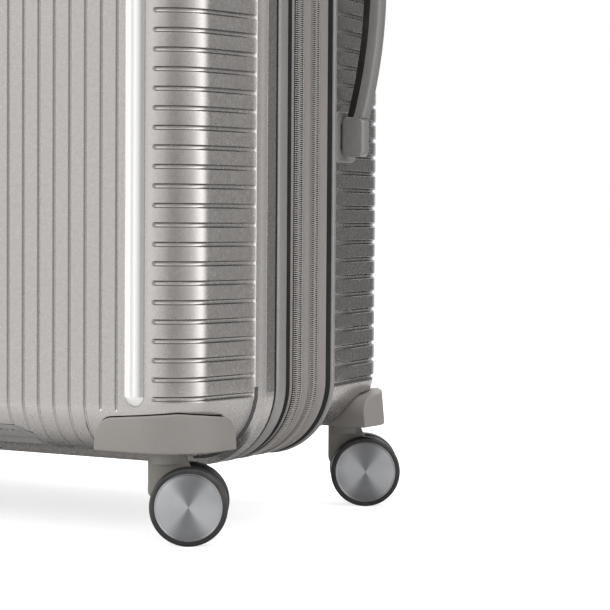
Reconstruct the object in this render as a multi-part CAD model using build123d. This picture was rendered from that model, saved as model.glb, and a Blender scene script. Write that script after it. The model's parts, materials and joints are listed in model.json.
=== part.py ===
"""Expandable hard shell suitcase on four swivelling twin wheel casters.

Frame: +Z up, +X to the right of the case, the front face towards -Y. The origin is on the floor, in the
middle of the four swivel axes. All lengths are in millimetres and all angles in degrees.
"""

from build123d import *
import os
from math import atan, cos, degrees, radians, sin, sqrt, tan

# ---------------------------------------------------------------- overall form
RIM_WIDTH = 460.0  # across the rims, along X
HALF_WIDTH = RIM_WIDTH / 2
RIM_BOTTOM = 44.0  # underside of the rims above the floor
RIM_TOP = 690.0
RIM_CORNER = 54.0  # corner radius of the rims, seen from the front
REAR_FACE = 140.0  # plane of the back, along Y
FRONT_FACE = -REAR_FACE
SHELL_WALL = 2.5
SHELL_STEP = 6.0  # how far each shell stands in from its rim
SHELL_DRAFT = 8.0
SHELL_EDGE = 33.0  # radius between a shell's face and its sides

# ---------------------------------------------------------------- seam stack, along Y
FLANGE_FRONT = -60.5  # front edge of the front shell's lip
FLANGE_REAR = -52.0
PIPING_BEAD = (-48.5, -37.0)
FRONT_TAPE_START = -33.5
MAIN_PARTING = -21.0  # the main zip opens here
EXPANSION_PARTING = 1.2  # the expansion zip opens here
REAR_TAPE_END = 15.5
REAR_BEAD = (21.5, 28.0)
PARTING_GAP = 0.4
COIL_HALF = 5.6  # width of one half of the main coil
EXPANSION_COIL_HALF = 4.6
FOLD_GROOVE = (-6.2, -3.6)  # sewn fold in the middle tape

# radial build of the seam: each value is a depth below the outer face of the rims
BEAD_DEPTH = 3.0
RIM_DEPTH = 5.7
TAPE_TOP = 1.6
COIL_TOP = 0.2
LAYER_GAP = 0.3
BEAD_ROUND = 2.4

FRONT_BODY = FLANGE_FRONT - SHELL_STEP  # the step between lip and shell slopes at 45 degrees
REAR_BODY = REAR_BEAD[1] + LAYER_GAP
COLLAR_SETBACK = 3.0  # from a parting to the end of the collar behind it
FRONT_COLLAR_END = MAIN_PARTING - COLLAR_SETBACK
REAR_COLLAR_END = EXPANSION_PARTING + COLLAR_SETBACK

# ---------------------------------------------------------------- shell pattern
GROOVE_DEPTH = 1.1
RIB_PITCH = 12.16  # horizontal grooves round the corners
RIB_GROOVE = 3.6
RIB_MARGIN = 49.4  # from the rims' ends to the first and last corner groove
RIB_INSET = 35.1  # from the rims' sides to where the corner grooves start
FLOOR_START = -0.3  # groove depth at the foot of the shell's side, where the grooves have run out
FLUTE_PITCH = 12.42  # vertical grooves of the panel
FLUTE_WIDTH = 2.4
FLUTE_SHORT = 2  # flutes at each side that end above the housings
FLUTE_SHORT_END = 85.0
PILLAR_X = HALF_WIDTH - 48.4
PILLAR_WIDTH = 15.2
PILLAR_HEIGHT = 3.4
PILLAR_ROOT = 1.2  # how far a bead reaches into the wall
PILLAR_LOW = 88.0

# ---------------------------------------------------------------- casters and their housings
SWIVEL_X = HALF_WIDTH - 42.0
SWIVEL_Y = REAR_FACE - 24.5
WHEEL_RADIUS = 25.0
TYRE_THICKNESS = 3.4
TYRE_ROUND = 2.2
TYRE_INSET = 0.4  # from a wheel's inner face to its tyre
TYRE_SETBACK = 0.5  # from a tyre to the wheel's outer face
DISH_RIM = 2.0  # rim round the dished face of a wheel
DISH_DEPTH = 0.7
WHEEL_INNER = 8.0  # from the swivel axis to a wheel's inner face, along the axle
WHEEL_OUTER = 21.4
AXLE_REACH = 18.0  # half the length of an axle
TRAIL = 15.2
REST_SWIVEL = 31.0  # turn of the trail from +X at rest
FORK_RADIUS = 11.3
FORK_WEB = 14.0
FORK_CLEARANCE = 0.4  # under the housing
FORK_SHOULDER = 50.8
FORK_AXLE_END = 9.0  # radius of the web round the axle
FORK_HEEL = 5.0  # radius of the web under the column
FORK_HEEL_Z = 34.0
STEM_RADIUS = 4.0
STEM_TOP = 76.0
STEM_CLEARANCE = 0.05
STEM_HEADROOM = 0.5
AXLE_RADIUS = 3.0
AXLE_CLEARANCE = 0.05
PRESS_CLEARANCE = 0.02

HOUSING_X = HALF_WIDTH - 80.0  # inner end of a housing, on the face
HOUSING_Y = REAR_FACE - 55.0  # inner end of a housing, on the side
HOUSING_HALF_WIDTH = HALF_WIDTH - 7.5  # outer faces at the housing's foot
HOUSING_HALF_DEPTH = REAR_FACE + 2.5
HOUSING_CORNER = 38.0
HOUSING_BOTTOM = 59.0
HOUSING_TOP_INNER = 79.5
HOUSING_TOP_CORNER = 85.5
HOUSING_FLARE = 5.0
HOUSING_END_ROUND = 13.0
HOUSING_WALL = 3.0
BOSS_RADIUS = 10.0
POCKET_GAP = 0.4
SCREW_RADIUS = 2.0
SCREW_HEAD_RADIUS = 4.0
SCREW_HEAD = 2.4
SCREW_LENGTH = 12.0
SCREW_BOSS = 4.5
SCREW_X = (HOUSING_X + 13.0, SWIVEL_X)
SCREW_Z = 70.0
SCREW_HOLE_GAP = 0.2
HOUSING_RIB_LIFT = 4.0  # from a housing's foot to its ribs
POCKET_DROP = 30.0  # how far a housing's pocket is drawn down through the shell

# ---------------------------------------------------------------- bottom grip
GRIP_HALF = 104.0
GRIP_TOP = 71.0
GRIP_ARCH = 28.0
GRIP_BACK = FRONT_FACE + 36.0
GRIP_POCKET_TOP = 62.0
GRIP_POCKET_BACK = GRIP_BACK - 6.0
GRIP_DIMPLE_Z = 66.5
GRIP_DIMPLE_COUNT = 36
GRIP_POCKET_HALF = 92.0
GRIP_DIMPLE_PITCH = 5.0
GRIP_DIMPLE_RADIUS = 1.1

# ---------------------------------------------------------------- carry handles
HANDLE_LENGTH = 234.0
HANDLE_Y = 49.0  # middle of both handles, along Y
HANDLE_WIDTH = 24.0
HANDLE_BLOCK = 27.0  # length of an end block
HANDLE_BLOCK_ROUND = 4.0
HANDLE_STRAP = 7.4
HANDLE_RISE = 12.7  # how far the middle stands out beyond the end blocks
HANDLE_BLOCK_HEIGHT = 16.0
HANDLE_GRIP = 5.0
GRIP_SETBACK = 1.5  # from the strap's edges to the grip
SEAT_LENGTH = 35.0
SEAT_WIDTH = 29.0
SEAT_ROUND = 6.0
SEAT_BLANK = 12.0  # thickness before the shell's form is cut from it
SEAT_FACE = 4.4  # how far a seat stands out from the shell, at its middle
TONGUE_LENGTH = 18.0
TONGUE_WIDTH = 16.0
TONGUE_DEPTH = 13.0
TONGUE_STOP = 1.6
TONGUE_STOP_THICKNESS = 2.0
TONGUE_ROOT = 1.0  # how far a tongue reaches into its block
TONGUE_HOLE = 30.0
SLIDE_GAP = 0.35

# ---------------------------------------------------------------- trolley
TROLLEY_X = 85.0  # middle of each tube set
TROLLEY_Y = REAR_FACE - 20.0
OUTER_TUBE = (26.0, 16.0)
TUBE_WALL = 1.0
TUBE_GAP = 0.4
TUBE_ROUND = 5.0
OUTER_TUBE_BOTTOM = 104.0
MIDDLE_TUBE_BOTTOM = 112.0
INNER_TUBE_BOTTOM = 120.0
BAR_LENGTH = 200.0
BAR_END_GAP = 4.0  # between the bar and each end of its recess
CUP_END_WALL = 14.0
CUP_RECESS_HALF = BAR_LENGTH / 2 + BAR_END_GAP
CUP_HALF = CUP_RECESS_HALF + CUP_END_WALL
CUP_FRONT = TROLLEY_Y - 16.0
CUP_FLOOR = RIM_TOP - 50.0
CUP_BOTTOM = CUP_FLOOR - 6.0
SOCKET_BOTTOM = CUP_FLOOR - 24.0
OUTER_TUBE_TOP = CUP_FLOOR - 14.0
MIDDLE_TUBE_TOP = CUP_FLOOR - 4.0
SOCKET_WALL = 2.5
CUP_RECESS_FRONT = CUP_FRONT + 3.0
BAR_DEPTH = 22.0
BAR_BOTTOM = CUP_FLOOR + 1.0
BAR_HEIGHT = 20.0
INNER_TUBE_TOP = BAR_BOTTOM + BAR_HEIGHT / 2
BAR_ROUND = 7.0
FINGER_HALF = 52.0
FINGER_DEPTH = 22.0
FINGER_WALL = 3.0
BUTTON_LENGTH = 34.0
BUTTON_DEPTH = 9.0
BUTTON_PROUD = 1.6
BUTTON_SINK = 5.0
BUTTON_TRAVEL_ROOM = 3.0
BUTTON_ROUND = 2.0
FOOT_HALF = 104.0
FOOT_BOTTOM = 98.0
FOOT_TOP = 118.0
FOOT_FLOOR = 4.0
FOOT_BACK = 3.0
COVER_Y = TROLLEY_Y - 12.0
COVER_WALL = 1.5
COVER_HALF = 126.0
COVER_BOTTOM = 96.0
COVER_TOP = SOCKET_BOTTOM - 10.0

# ---------------------------------------------------------------- lining, straps, cloth
LINING = 0.8
LINING_GAP = 0.4
FRONT_LINING_START = -46.0
REAR_LINING_START = 29.0
STRAP_Y = 33.0
STRAP_WIDTH = 25.0
STRAP_THICKNESS = 1.4
BUCKLE = (46.0, 8.0, 34.0)
CLOTH = 1.0
GUSSET_Y = (MAIN_PARTING + 3.0, REAR_BEAD[0] + 4.0)
HINGE_STRIP_Y = (FRONT_LINING_START + 1.5, MAIN_PARTING + 2.5)
STRAP_END_GAP = 1.0

# ---------------------------------------------------------------- lock
LOCK_Z = 462.0
LOCK_LENGTH = 86.0
LOCK_Y = (-99.0, -53.0)
LOCK_FACE = HALF_WIDTH + 2.6  # outer face of the bezel, along X
BEZEL_THICKNESS = 7.6
BEZEL_ROUND = 2.0
LOCK_DEPTH = 22.0
LOCK_WALL = 2.0
LOCK_ROUND = 8.0
DIAL_RADIUS = 9.0
DIAL_THICKNESS = 6.4
DIAL_PITCH = 11.0
DIAL_Y = LOCK_Y[0] + 25.0
DIAL_PROUD = 2.0
DIAL_BORE = 1.5
DIAL_X = LOCK_FACE + DIAL_PROUD - DIAL_RADIUS
DIAL_GAP = 0.6  # round a dial in its pocket
DIAL_NOTCHES = 10
DIAL_NOTCH_RADIUS = 1.0
DIAL_NOTCH_SETOUT = 0.5  # from the dial's edge out to a notch's middle
DIAL_DROP = 8.0  # from the lock's middle down to the middle dial
LOCK_BUTTON = (18.0, 12.0)
LOCK_BUTTON_Z = LOCK_Z + 26.0
LOCK_BUTTON_PROUD = 1.4
LOCK_BUTTON_ROUND = 2.5
LOCK_BUTTON_ROOM = 3.0
LOCK_BUTTON_START = LOCK_FACE - LOCK_DEPTH / 2 + 1.0
KEY_RADIUS = 4.6
KEY_CLEARANCE = 0.08
KEY_PROUD = 0.4
KEY_SLOT = (1.1, 5.6)
KEY_SLOT_DEPTH = 3.0
KEY_Y = LOCK_Y[0] + 11.0
KEY_Z = LOCK_BUTTON_Z
PULL_SLOT = (3.0, 12.0, 7.0)  # slots that take the zip pulls
PULL_SLOT_DEPTH = 4.2
PULL_SLOT_Z = (LOCK_Z - LOCK_LENGTH / 2 + 14.0, LOCK_Z + 6.0)

# ---------------------------------------------------------------- zip sliders
SLIDER_LENGTH = 13.0
SLIDER_WIDTH = 10.0
SLIDER_HEIGHT = 3.6
SLIDER_LIFT = 0.3
SLIDER_ROUND = 3.0
EAR_THICKNESS = 1.3
EAR_HALF = 2.2
EAR_HEIGHT = 2.0  # above the pin
PIN_REACH = 1.0  # into each ear
PULL_LENGTH = 31.0
PULL_WIDTH = 8.6
PULL_THICKNESS = 1.8
PULL_EYE_WIDTH = 5.6
PULL_EYE_WALL = 1.1
PULL_NECK = 9.0
PULL_SHOULDER = 6.0  # from the pin to the tab
PULL_ROUND = 3.0
PIN_CLEARANCE = 0.08
PIN_LIFT = 2.6  # from a slider's back to its pin
BRIDGE_RADIUS = 1.1
UPPER_SLIDER_Z = 505.0
LOWER_SLIDER_Z = 440.0
EXPANSION_SLIDER_Z = 560.0

MID_Z = (RIM_BOTTOM + RIM_TOP) / 2
RIM_HEIGHT = RIM_TOP - RIM_BOTTOM


# ================================================================ helpers
def save(node, *shapes):
    """Write the given solids as one sub-part file."""
    solids = [solid for shape in shapes for solid in shape.solids()]
    result = solids[0] if len(solids) == 1 else Compound(children=solids)
    result.label = node
    export_step(result, f"parts/{node}.step")


def box(low, high):
    """Box between two opposite corners."""
    size = [b - a for a, b in zip(low, high)]
    centre = [(a + b) / 2 for a, b in zip(low, high)]
    return Pos(*centre) * Box(*size)


def rod(start, direction, radius, length):
    """Round bar from a point along a direction."""
    return Solid.make_cylinder(radius, length, Plane(origin=start, z_dir=direction))


def section(inset, y, facing):
    """Outline of the case at depth y, drawn in by inset and facing along -Y or +Y."""
    plane = Plane(origin=(0, y, MID_Z), x_dir=(1, 0, 0), z_dir=(0, facing, 0))
    outline = RectangleRounded(RIM_WIDTH - 2 * inset, RIM_HEIGHT - 2 * inset, RIM_CORNER - inset)
    return plane * outline


def block(inset, y_start, y_end, draft=0.0):
    """Solid with the case's outline, from y_start to y_end."""
    facing = 1 if y_end > y_start else -1
    return extrude(section(inset, y_start, facing), amount=abs(y_end - y_start), taper=draft)


def ring(depth_out, depth_in, y_start, y_end):
    """Band round the case between two depths below the rims' outer face."""
    return block(depth_out, y_start, y_end) - block(depth_in, y_start, y_end)


def at_depth(shape, y):
    """Edges of a shape that lie wholly in the plane at depth y."""
    def flat(edge):
        bounds = edge.bounding_box()
        return abs(bounds.min.Y - y) < 1e-3 and abs(bounds.max.Y - y) < 1e-3

    return [edge for edge in shape.edges() if flat(edge)]


def dome(start, face, side_inset=0.0, face_inset=None, draft=SHELL_DRAFT):
    """Drafted body of a shell with a rounded edge round its face, from start to face.

    The insets draw its sides and its face in; the face is drawn in like the sides unless stated.
    """
    face_inset = side_inset if face_inset is None else face_inset
    end = face - face_inset if face > start else face + face_inset
    body = block(SHELL_STEP + side_inset, start, end, draft)
    return fillet(at_depth(body, end), SHELL_EDGE - face_inset)


def both_sides(shape, plane=Plane.YZ):
    """The shape and its mirror image."""
    return [shape, mirror(shape, about=plane)]


def shell_side(y):
    """Distance of a shell's side from the rims' outer face, at depth y of the rear shell."""
    return SHELL_STEP + (y - REAR_BODY) * tan(radians(SHELL_DRAFT))


# ================================================================ shells
def rib_cutters(body, face):
    """Slabs for the horizontal grooves round both corners of a shell, full depth."""
    count = 1 + round((RIM_HEIGHT - 2 * RIB_MARGIN) / RIB_PITCH)
    lowest = MID_Z - (count - 1) / 2 * RIB_PITCH
    beyond = face + (10 if face > 0 else -10)
    near, far = sorted((body, beyond))
    slabs = []
    for index in range(count):
        z = lowest + index * RIB_PITCH
        slab = box((HALF_WIDTH - RIB_INSET, near, z - RIB_GROOVE / 2), (RIM_WIDTH, far, z + RIB_GROOVE / 2))
        slabs += both_sides(slab)
    return slabs


def flute_cutters(face):
    """Slabs for the vertical grooves of a shell's panel, full depth."""
    inward = -1 if face > 0 else 1
    near, far = sorted((face - inward * 10, face + inward * (SHELL_EDGE + 5)))
    slabs = []
    each_side = int((PILLAR_X - PILLAR_WIDTH / 2) / FLUTE_PITCH)
    for index in range(each_side):
        x = (index + 0.5) * FLUTE_PITCH
        short = index >= each_side - FLUTE_SHORT
        low = FLUTE_SHORT_END if short else RIM_BOTTOM
        high = RIM_TOP + RIM_BOTTOM - low
        slabs += both_sides(box((x - FLUTE_WIDTH / 2, near, low), (x + FLUTE_WIDTH / 2, far, high)))
    return slabs


def grooves(body, face):
    """What the grooves of one shell take away. Their floor is steeper than the shell's side."""
    side_run = abs(face - body) - SHELL_EDGE
    slope = tan(radians(SHELL_DRAFT)) + (GROOVE_DEPTH - FLOOR_START) / side_run
    floor = dome(body, face, FLOOR_START, GROOVE_DEPTH, degrees(atan(slope)))
    return Compound(children=rib_cutters(body, face) + flute_cutters(face)) - floor


def pillars():
    """The two half round beads of the front panel."""
    half = PILLAR_WIDTH / 2
    radius = (half**2 + PILLAR_HEIGHT**2) / (2 * PILLAR_HEIGHT)
    y = FRONT_FACE - PILLAR_HEIGHT + radius
    end = sqrt(radius**2 - (radius - PILLAR_HEIGHT) ** 2)
    low = PILLAR_LOW + end
    high = RIM_TOP + RIM_BOTTOM - low
    bead = rod((PILLAR_X, y, low), (0, 0, 1), radius, high - low)
    bead += Pos(PILLAR_X, y, low) * Sphere(radius)
    bead += Pos(PILLAR_X, y, high) * Sphere(radius)
    root = box((PILLAR_X - radius, FRONT_FACE - radius, 0), (PILLAR_X + radius, FRONT_FACE + PILLAR_ROOT, RIM_TOP))
    return both_sides(bead & root)


def front_outer():
    """Outer form of the front shell, without its collar."""
    lip = block(0, FLANGE_REAR, FLANGE_FRONT)
    step = block(0, FLANGE_FRONT, FRONT_BODY, 45)
    return lip + step + dome(FRONT_BODY, FRONT_FACE)


def shell_inner(start, body, face, inset):
    """Space inside a shell, drawn in by inset from its outer face."""
    return block(SHELL_STEP + inset, start, body) + dome(body, face, inset)


# ================================================================ casters' housings
def end_profile(inner, corner_reach, low, grow):
    """Side view of a housing: its inner end is rounded and its top rises towards the corner."""
    top_inner = HOUSING_TOP_INNER + grow
    top_outer = HOUSING_TOP_CORNER + grow
    beyond = 2 * corner_reach
    points = [
        (inner, low),
        (inner, top_inner),
        (corner_reach, top_outer),
        (beyond, top_outer),
        (beyond, low),
    ]
    face = make_face(Polyline(*points, close=True))
    corner = face.vertices().sort_by_distance((inner, top_inner, 0))[0]
    return fillet(corner, HOUSING_END_ROUND + grow)


def housing_form(grow=0.0, drop=0.0):
    """Outer form of the front right housing. grow moves its ends, faces and top out; drop its foot down."""
    low = HOUSING_BOTTOM
    plan = RectangleRounded(
        2 * (HOUSING_HALF_WIDTH + grow), 2 * (HOUSING_HALF_DEPTH + grow), HOUSING_CORNER + grow
    )
    form = extrude(Pos(0, 0, low) * plan, amount=HOUSING_TOP_CORNER + grow - low, taper=HOUSING_FLARE)
    if drop:
        form += extrude(Pos(0, 0, low - drop) * plan, amount=drop)
    reach = 2 * HOUSING_HALF_WIDTH
    front_view = end_profile(HOUSING_X - grow, HOUSING_HALF_WIDTH, low - drop, grow)
    side_view = end_profile(HOUSING_Y - grow, HOUSING_HALF_DEPTH, low - drop, grow)
    along_y = extrude(Plane(origin=(0, 0, 0), x_dir=(1, 0, 0), z_dir=(0, -1, 0)) * front_view, amount=reach)
    along_x = extrude(Plane(origin=(0, 0, 0), x_dir=(0, -1, 0), z_dir=(-1, 0, 0)) * side_view, amount=-reach)
    return form & along_y & along_x


def housing():
    """Front right housing: open below, with a boss for the stem, ribs and screw bosses."""
    form = housing_form()
    shape = form - housing_form(-HOUSING_WALL, drop=5)
    top = HOUSING_TOP_CORNER
    boss = rod((SWIVEL_X, -SWIVEL_Y, HOUSING_BOTTOM), (0, 0, 1), BOSS_RADIUS, top - HOUSING_BOTTOM)
    rib = HOUSING_WALL / 2
    rib_x = box((HOUSING_X, -SWIVEL_Y - rib, HOUSING_BOTTOM + HOUSING_RIB_LIFT), (HALF_WIDTH, -SWIVEL_Y + rib, top))
    rib_y = box((SWIVEL_X - rib, FRONT_FACE, HOUSING_BOTTOM + HOUSING_RIB_LIFT), (SWIVEL_X + rib, -HOUSING_Y, top))
    shape += (boss + rib_x + rib_y) & form
    for x in SCREW_X:
        shape += rod((x, -HOUSING_Y, SCREW_Z), (0, -1, 0), SCREW_BOSS, SCREW_LENGTH) & form
        shape -= rod((x, 0, SCREW_Z), (0, -1, 0), SCREW_RADIUS + PRESS_CLEARANCE, HOUSING_Y + SCREW_LENGTH)
    bore = rod((SWIVEL_X, -SWIVEL_Y, 0), (0, 0, 1), STEM_RADIUS + STEM_CLEARANCE, STEM_TOP + STEM_HEADROOM)
    return shape - bore


def pocket_wall(outer):
    """Wall that the front shell forms round a housing."""
    return housing_form(POCKET_GAP + SHELL_WALL, drop=POCKET_DROP) & outer


def pocket_space():
    """Space that a housing takes out of the front shell, with its screw holes."""
    space = housing_form(POCKET_GAP, drop=POCKET_DROP)
    for x in SCREW_X:
        space += rod((x, 0, SCREW_Z), (0, -1, 0), SCREW_RADIUS + SCREW_HOLE_GAP, HOUSING_Y + SHELL_WALL)
    return space


def housing_screws():
    """The screws of the front right housing, driven from inside the case."""
    seat = -(HOUSING_Y - POCKET_GAP - SHELL_WALL) + PRESS_CLEARANCE
    screws = []
    for x in SCREW_X:
        shank = rod((x, seat, SCREW_Z), (0, -1, 0), SCREW_RADIUS, SCREW_LENGTH)
        head = rod((x, seat, SCREW_Z), (0, 1, 0), SCREW_HEAD_RADIUS, SCREW_HEAD)
        screws.append(shank + head)
    return screws


def four_corners(shape):
    """The shape mirrored to (front right, front left, rear right, rear left)."""
    left = mirror(shape, about=Plane.YZ)
    return shape, left, mirror(shape, about=Plane.XZ), mirror(left, about=Plane.XZ)


# ================================================================ carry handles
def handle_plane(side):
    """Frame of a carry handle: x along its length, z outwards from the seats' top faces."""
    drop = shell_side(HANDLE_Y) - SEAT_FACE
    if side:
        return Plane(origin=(HALF_WIDTH - drop, HANDLE_Y, MID_Z), x_dir=(0, 0, -1), z_dir=(1, 0, 0))
    return Plane(origin=(0, HANDLE_Y, RIM_TOP - drop), x_dir=(1, 0, 0), z_dir=(0, 0, 1))


def arc_band(half, low_end, rise, thickness):
    """Side view of an arched band of even thickness, low_end high at its ends."""
    top = ThreePointArc((-half, low_end), (0, low_end + rise), (half, low_end))
    bottom = ThreePointArc((-half, low_end - thickness), (0, low_end + rise - thickness), (half, low_end - thickness))
    sides = [Line((s * half, low_end), (s * half, low_end - thickness)) for s in (-1, 1)]
    return make_face(Wire([top, bottom, *sides]))


def handle_arch():
    """Arch with its end blocks and tongues, in the handle's own frame."""
    half = HANDLE_LENGTH / 2
    inner = half - HANDLE_BLOCK
    upright = Plane(origin=(0, 0, 0), x_dir=(1, 0, 0), z_dir=(0, -1, 0))
    profile = arc_band(inner + 1, HANDLE_BLOCK_HEIGHT + SLIDE_GAP, HANDLE_RISE, HANDLE_STRAP)
    for side in (-1, 1):
        middle = side * (inner + HANDLE_BLOCK / 2)
        outline = RectangleRounded(HANDLE_BLOCK, HANDLE_BLOCK_HEIGHT, HANDLE_BLOCK_ROUND)
        profile += Pos(middle, HANDLE_BLOCK_HEIGHT / 2 + SLIDE_GAP) * outline
    arch = extrude(upright * profile, amount=HANDLE_WIDTH / 2, both=True)
    for side in (-1, 1):
        middle = side * (inner + HANDLE_BLOCK / 2)
        half_length = TONGUE_LENGTH / 2
        tongue_size = (TONGUE_WIDTH, TONGUE_DEPTH, TONGUE_LENGTH + 2 * TONGUE_ROOT)
        tongue = Pos(middle, 0, TONGUE_ROOT - half_length) * Box(*tongue_size)
        stop_plan = (TONGUE_WIDTH + 2 * TONGUE_STOP, TONGUE_DEPTH + 2 * TONGUE_STOP)
        stop = Pos(middle, 0, TONGUE_ROOT - TONGUE_LENGTH) * Box(*stop_plan, TONGUE_STOP_THICKNESS)
        arch += tongue + stop
    return arch


def handle_grip():
    """Soft grip on the inside of the arch, in the handle's own frame."""
    upright = Plane(origin=(0, 0, 0), x_dir=(1, 0, 0), z_dir=(0, -1, 0))
    half = HANDLE_LENGTH / 2 - HANDLE_BLOCK - LAYER_GAP
    low_end = HANDLE_BLOCK_HEIGHT + SLIDE_GAP - HANDLE_STRAP - 0.1
    profile = arc_band(half, low_end, HANDLE_RISE, HANDLE_GRIP)
    return extrude(upright * profile, amount=HANDLE_WIDTH / 2 - GRIP_SETBACK, both=True)


def tongue_holes(gap):
    """Space that the tongues slide in, in the handle's own frame."""
    middle = HANDLE_LENGTH / 2 - HANDLE_BLOCK / 2
    hole = Box(TONGUE_WIDTH + 2 * gap, TONGUE_DEPTH + 2 * gap, TONGUE_HOLE)
    return [Pos(side * middle, 0, 0) * hole for side in (-1, 1)]


def handle_seats():
    """Blanks of the two seats, in the handle's own frame; the shell's form is cut from them."""
    middle = HANDLE_LENGTH / 2 - HANDLE_BLOCK / 2
    seats = []
    for side, hole in zip((-1, 1), tongue_holes(SLIDE_GAP)):
        plan = RectangleRounded(SEAT_LENGTH, SEAT_WIDTH, SEAT_ROUND)
        seat = Pos(side * middle, 0, 0) * extrude(plan, amount=-SEAT_BLANK)
        seats.append(seat - hole)
    return seats


# ================================================================ rear half
def rear_outer():
    """Outer form of the rear shell."""
    return block(SHELL_STEP, REAR_COLLAR_END, REAR_BODY) + dome(REAR_BODY, REAR_FACE)


def cup_space(gap):
    """Block that the trolley cup fills in the rear shell's top edge."""
    back = REAR_FACE + 10
    tray = box((-CUP_HALF - gap, CUP_FRONT - gap, CUP_BOTTOM - gap), (CUP_HALF + gap, back, RIM_TOP))
    wall = FINGER_HALF + FINGER_WALL + gap
    low = CUP_FLOOR - FINGER_DEPTH - FINGER_WALL - gap
    return tray + box((-wall, CUP_FRONT - gap, low), (wall, back, CUP_FLOOR))


def tube(width, depth, wall, corner, low, high):
    """Two upright trolley tubes of one stage, left and right."""
    outer = RectangleRounded(width, depth, corner)
    if wall:
        outer -= RectangleRounded(width - 2 * wall, depth - 2 * wall, corner - wall)
    right = Pos(TROLLEY_X, TROLLEY_Y, low) * extrude(outer, amount=high - low)
    return both_sides(right)


def tube_size(stage):
    """Outer width, depth and corner radius of a trolley stage: 0 outer, 1 middle, 2 inner."""
    step = stage * 2 * (TUBE_WALL + TUBE_GAP)
    return OUTER_TUBE[0] - step, OUTER_TUBE[1] - step, TUBE_ROUND - step / 2


def tube_space(stage, gap, low, high):
    """Clear space round the tubes of a stage."""
    width, depth, corner = tube_size(stage)
    return tube(width + 2 * gap, depth + 2 * gap, 0, corner + gap, low, high)


def trolley_cup():
    """Tray in the top rear edge, with sockets for the outer tubes."""
    cup = cup_space(0) & dome(REAR_BODY, REAR_FACE)
    cup -= box((-CUP_RECESS_HALF, CUP_RECESS_FRONT, CUP_FLOOR), (CUP_RECESS_HALF, 2 * REAR_FACE, RIM_TOP))
    finger_low = CUP_FLOOR - FINGER_DEPTH
    cup -= box((-FINGER_HALF, CUP_RECESS_FRONT, finger_low), (FINGER_HALF, 2 * REAR_FACE, CUP_FLOOR + 1))
    for socket in tube_space(0, SOCKET_WALL, SOCKET_BOTTOM, CUP_BOTTOM + 1):
        cup += socket
    for outer, middle in zip(
        tube_space(0, LAYER_GAP, SOCKET_BOTTOM - 1, OUTER_TUBE_TOP + LAYER_GAP),
        tube_space(1, TUBE_GAP, SOCKET_BOTTOM, CUP_FLOOR + 1),
    ):
        cup -= outer + middle
    return cup


def trolley_foot():
    """Bracket that holds the lower ends of the outer tubes on the rear wall."""
    wall = REAR_FACE - SHELL_WALL - LAYER_GAP
    front = TROLLEY_Y - OUTER_TUBE[1] / 2 - SOCKET_WALL
    foot = box((-FOOT_HALF, front, FOOT_BOTTOM), (FOOT_HALF, wall, FOOT_TOP))
    for space in tube_space(0, LAYER_GAP, OUTER_TUBE_BOTTOM - LAYER_GAP, FOOT_TOP + 1):
        foot -= space
    middle = FOOT_HALF - OUTER_TUBE[0] - 4 * SOCKET_WALL
    return foot - box((-middle, front - 1, FOOT_BOTTOM + FOOT_FLOOR), (middle, wall - FOOT_BACK, FOOT_TOP + 1))


def trolley_cover():
    """Channel cover that keeps the packing space clear of the tubes."""
    wall = REAR_FACE - SHELL_WALL - LAYER_GAP
    cover = box((-COVER_HALF, COVER_Y, COVER_BOTTOM), (COVER_HALF, wall, COVER_TOP))
    inside = COVER_HALF - COVER_WALL
    return cover - box((-inside, COVER_Y + COVER_WALL, COVER_BOTTOM - 1), (inside, wall + 1, COVER_TOP + 1))


def trolley_bar():
    """Grip bar with sockets for the inner tubes and a slot for the button."""
    top = BAR_BOTTOM + BAR_HEIGHT
    start = (-BAR_LENGTH / 2, TROLLEY_Y, BAR_BOTTOM + BAR_HEIGHT / 2)
    section_plan = Plane(origin=start, x_dir=(0, 1, 0), z_dir=(1, 0, 0))
    bar = extrude(section_plan * RectangleRounded(BAR_DEPTH, BAR_HEIGHT, BAR_ROUND), amount=BAR_LENGTH)
    for space in tube_space(2, PRESS_CLEARANCE, BAR_BOTTOM - 1, INNER_TUBE_TOP + LAYER_GAP):
        bar -= space
    slot = Box(BUTTON_LENGTH + 2 * SLIDE_GAP, BUTTON_DEPTH + 2 * SLIDE_GAP, 2 * (BUTTON_SINK + BUTTON_TRAVEL_ROOM))
    return bar - Pos(0, TROLLEY_Y, top) * slot


def trolley_button():
    """Release button in the top of the grip bar."""
    top = BAR_BOTTOM + BAR_HEIGHT
    button = box(
        (-BUTTON_LENGTH / 2, TROLLEY_Y - BUTTON_DEPTH / 2, top - BUTTON_SINK),
        (BUTTON_LENGTH / 2, TROLLEY_Y + BUTTON_DEPTH / 2, top + BUTTON_PROUD),
    )
    return fillet(button.edges().filter_by(Axis.Z), BUTTON_ROUND)


# ================================================================ lock
def bezel_plan(grow=0.0):
    """Outline of the lock's bezel, in a plane that faces +X."""
    width = LOCK_Y[1] - LOCK_Y[0] + 2 * grow
    return RectangleRounded(width, LOCK_LENGTH + 2 * grow, LOCK_ROUND + grow)


def lock_plane(x):
    """Plane across the lock at depth x: local x runs along Y and local y along Z."""
    return Plane(origin=(x, (LOCK_Y[0] + LOCK_Y[1]) / 2, LOCK_Z), x_dir=(0, 1, 0), z_dir=(1, 0, 0))


def dial_heights():
    """Height of each dial."""
    middle = LOCK_Z - DIAL_DROP
    return [middle + step * DIAL_PITCH for step in (-1, 0, 1)]


def lock_space(gap):
    """Space that the lock takes in the front shell."""
    depth = BEZEL_THICKNESS + LOCK_DEPTH + gap
    return extrude(lock_plane(LOCK_FACE - depth) * bezel_plan(gap), amount=depth + 20)


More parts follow.
